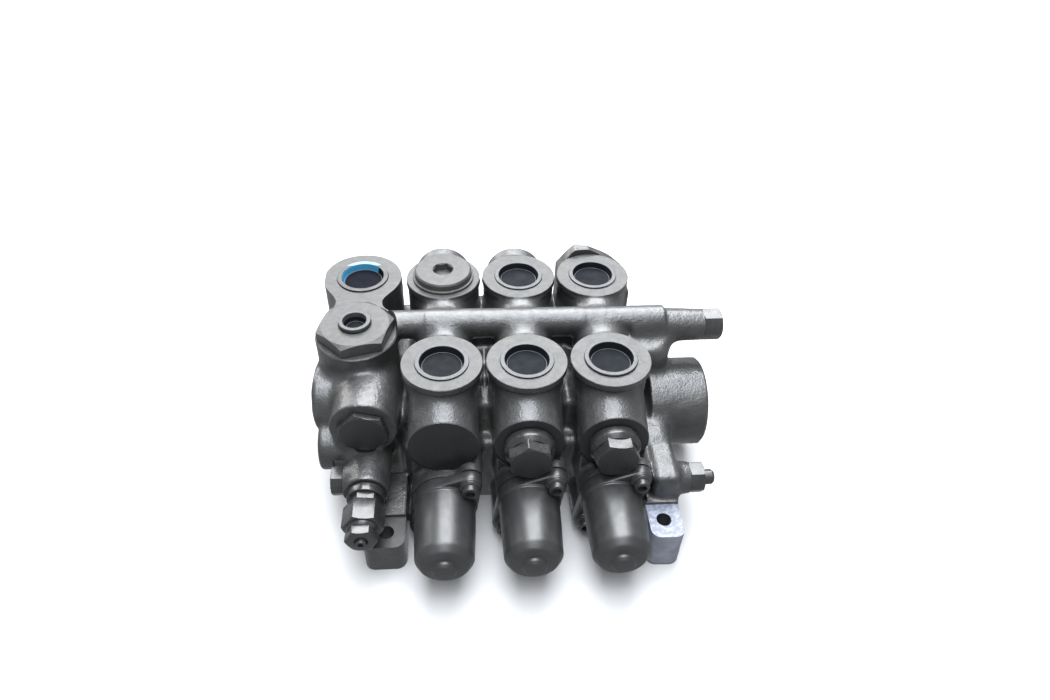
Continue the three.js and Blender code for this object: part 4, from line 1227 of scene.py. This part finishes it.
def add_materials():
    floor = Surface("pale_floor", (0.55, 0.55, 0.55), 0.9, 0.0, 0.2)
    floor.mottle((0.57, 0.57, 0.57), 3)
    cast = Surface("cast_paint", BLACK, 0.45, 0.0, 0.9)
    cast.shader.inputs["Coat Weight"].default_value = 0.5
    cast.shader.inputs["Coat Roughness"].default_value = 0.16
    cast.mottle(WORN, 55, 0.48, 0.72).gloss(300, 0.42, 0.56)
    cast.grain(260, 0.24, 2).grain(750, 0.2)

    port_grid = (SECTION_X[2] - SECTION_X[1], REAR_Y - FRONT_Y)
    face_paint("port_face_paint", "z", (SECTION_X[1], FRONT_Y), port_grid)
    face_paint("inlet_face_paint", "z", INLET_AT)
    face_paint("gauge_face_paint", "z", GAUGE_AT)
    face_paint("adapter_paint", "z", GAUGE_AT)
    face_paint("plug_disc_paint", "z", (SECTION_X[0], REAR_Y))
    face_paint("tank_face_paint", "x", TANK_AT)

    pad_glare = Surface("foot_pad_painted_glare", (0.14, 0.155, 0.20), 0.4, 0.0, 0.7)
    pad_glare.mottle((0.26, 0.29, 0.37), 420, 0.45, 0.6).gloss(500, 0.34, 0.5)
    pad_glare.grain(420, 0.28, 3).grain(1100, 0.08)

    foot_front_light = Surface("foot_front_painted_light", (0.13, 0.14, 0.17), 0.5, 0.0, 0.7)
    foot_front_light.mottle((0.19, 0.205, 0.25), 120, 0.4, 0.65).gloss(300, 0.42, 0.6).grain(300, 0.15)

    plain = Surface("plain_face_paint", BLACK, 0.4, 0.0, 0.5)
    plain.mottle((0.019, 0.019, 0.0195), 120).gloss(260, 0.4, 0.55).grain(700, 0.03)

    satin = Surface("satin_paint", (0.022, 0.022, 0.0225), 0.34, 0.0, 0.8)
    satin.mottle((0.034, 0.0335, 0.033), 70, 0.5, 0.75).gloss(220, 0.32, 0.42).grain(520, 0.03)

    thin_paints = {"plug_paint": (0.22, 0.34), "relief_paint": (0.16, 0.28), "screw_paint": (0.3, 0.45)}
    for name, roughness in thin_paints.items():
        thin = Surface(name, (0.022, 0.022, 0.0225), 0.3, 0.0, 0.8)
        thin.mottle((0.040, 0.039, 0.038), 90, 0.5, 0.72).gloss(320, *roughness).grain(500, 0.012)

    ring = Surface("cap_ring_paint", (0.046, 0.047, 0.050), 0.42, 0.0, 0.5)
    ring.mottle((0.060, 0.061, 0.064), 220).gloss(420, 0.36, 0.46).grain(600, 0.03)
    bare = Surface("bare_plastic", (0.008, 0.010, 0.013), 0.6, 0.0, 0.06)
    bare.mottle((0.014, 0.015, 0.016), 110, 0.4, 0.7).gloss(150, 0.5, 0.7).grain(380, 0.04)
    blue_plastic("blue_ring_plastic", (0.044, 0.044, 0.043), 0.5, 0.42, 90, 11.3, (0.17, 0.29, 0.34))
    blue_plastic("blue_inside_plastic", (0.004, 0.005, 0.009), 0.05, 0.62, 116, 3.5, (0.045, 0.22, 0.38))

    chrome = Surface("chromed_steel", (0.60, 0.61, 0.63), 0.14, 1.0)
    chrome.gloss(120, 0.10, 0.22).grain(900, 0.008)
    zinc = Surface("zinc_plate", (0.58, 0.58, 0.55), 0.34, 1.0)
    zinc.mottle((0.50, 0.51, 0.46), 60).gloss(200, 0.28, 0.42).grain(700, 0.02)
    wire = Surface("spring_wire", (0.33, 0.33, 0.35), 0.3, 1.0)
    wire.mottle((0.2, 0.19, 0.18), 140).gloss(300, 0.24, 0.4).grain(800, 0.02)


def blue_plastic(name, colour, specular, roughness, facing, reach, shown):
    """Blue plastic under black overspray, all but an arc whose middle lies at the angle facing."""
    made = Surface(name, colour, roughness, 0.0, specular)
    axes = made.axes()
    across = made.math("SUBTRACT", axes["x"], INLET_X * MM)
    ahead = made.math("SUBTRACT", axes["y"], INLET_Y * MM)
    side, forward = math.cos(math.radians(facing)), math.sin(math.radians(facing))
    lean = made.math("ADD", made.math("MULTIPLY", ahead, forward), made.math("MULTIPLY", across, side))
    ragged = made.math("ADD", lean, made.math("MULTIPLY", made.noise(130, 3), 2.4 * MM))
    radius = made.radius("z", INLET_AT)
    outside = made.ramp(radius, 12.3 * MM, 12.7 * MM, 0, 1)
    start = reach + 1.2
    bare_part = made.math("MULTIPLY", made.ramp(ragged, start * MM, (start + 0.5) * MM, 0, 1), outside)
    made.show(shown, bare_part)
    made.gloss(180, roughness - 0.05, roughness + 0.1).grain(500, 0.03)


# ---- Stage ----
CAMERA_PLACE = (-0.0329, -0.3297, 0.4007)
CAMERA_FORWARD = (0.0709, 0.7437, -0.6647)
CAMERA_RIGHT = (0.9973, -0.0675, 0.0309)
CAMERA_LENS = 26.15


def add_camera():
    forward = Vector(CAMERA_FORWARD).normalized()
    right = Vector(CAMERA_RIGHT)
    right = (right - forward * right.dot(forward)).normalized()
    up = right.cross(forward)
    data = bpy.data.cameras.new("camera")
    data.lens = CAMERA_LENS
    data.sensor_width = 36
    data.clip_end = 50
    camera = placed("camera", data)
    turn = Matrix((right, up, -forward)).transposed().to_4x4()
    camera.matrix_world = Matrix.Translation(CAMERA_PLACE) @ turn
    bpy.context.scene.camera = camera


def add_softbox(name, place, aim, width, height, watts, colour):
    data = bpy.data.lights.new(name, "AREA")
    data.shape = "RECTANGLE"
    data.size = width
    data.size_y = height
    data.energy = watts
    data.color = colour
    lamp = placed(name, data)
    lamp.location = place
    lamp.rotation_mode = "QUATERNION"
    lamp.rotation_quaternion = (Vector(aim) - Vector(place)).to_track_quat("-Z", "Y")
    lamp.visible_camera = False


def add_stage():
    world = bpy.data.worlds.new("studio")
    world.use_nodes = True
    world.node_tree.nodes["Background"].inputs["Color"].default_value = (0.93, 0.96, 1, 1)
    world.node_tree.nodes["Background"].inputs["Strength"].default_value = 0.42
    bpy.context.scene.world = world
    bm = bmesh.new()
    bmesh.ops.create_grid(bm, x_segments=8, y_segments=8, size=4)
    floor = from_bmesh("floor", bm)
    floor.location.z = cad_box[0].z
    floor.data.materials.append(MATERIALS["pale_floor"])
    floor.visible_glossy = False
    add_softbox("back_softbox", (0.12, 0.95, 1.17), (0.05, 0, 0.05), 1.2, 1.05, 42, (0.95, 0.97, 1))
    add_softbox("top_softbox", (0.02, 0.10, 1.62), (0.02, 0.1, 0.05), 1.2, 1.2, 42, (0.91, 0.95, 1))
    add_softbox("front_softbox", (-0.05, -0.80, 1.42), (0, 0, 0.05), 1.0, 0.7, 11, (0.93, 0.96, 1))
    add_softbox("left_softbox", (-0.95, 1.10, 0.61), (0, 0, 0.05), 0.9, 0.8, 12, (1, 0.99, 0.97))


bpy.context.scene.view_settings.view_transform = "Standard"
add_materials()
add_camera()
add_stage()
add_casting()
for section, section_x in zip(SECTIONS, SECTION_X):
    add_spool_set(section_x, section)
for section, plug_turn in FRONT_PLUG_TURN.items():
    add_front_plug(SECTION_X[section - 1], section, plug_turn)
add_port_caps()
add_gauge_adapter()
add_rear_port_plug()
add_side_plugs()
add_relief()
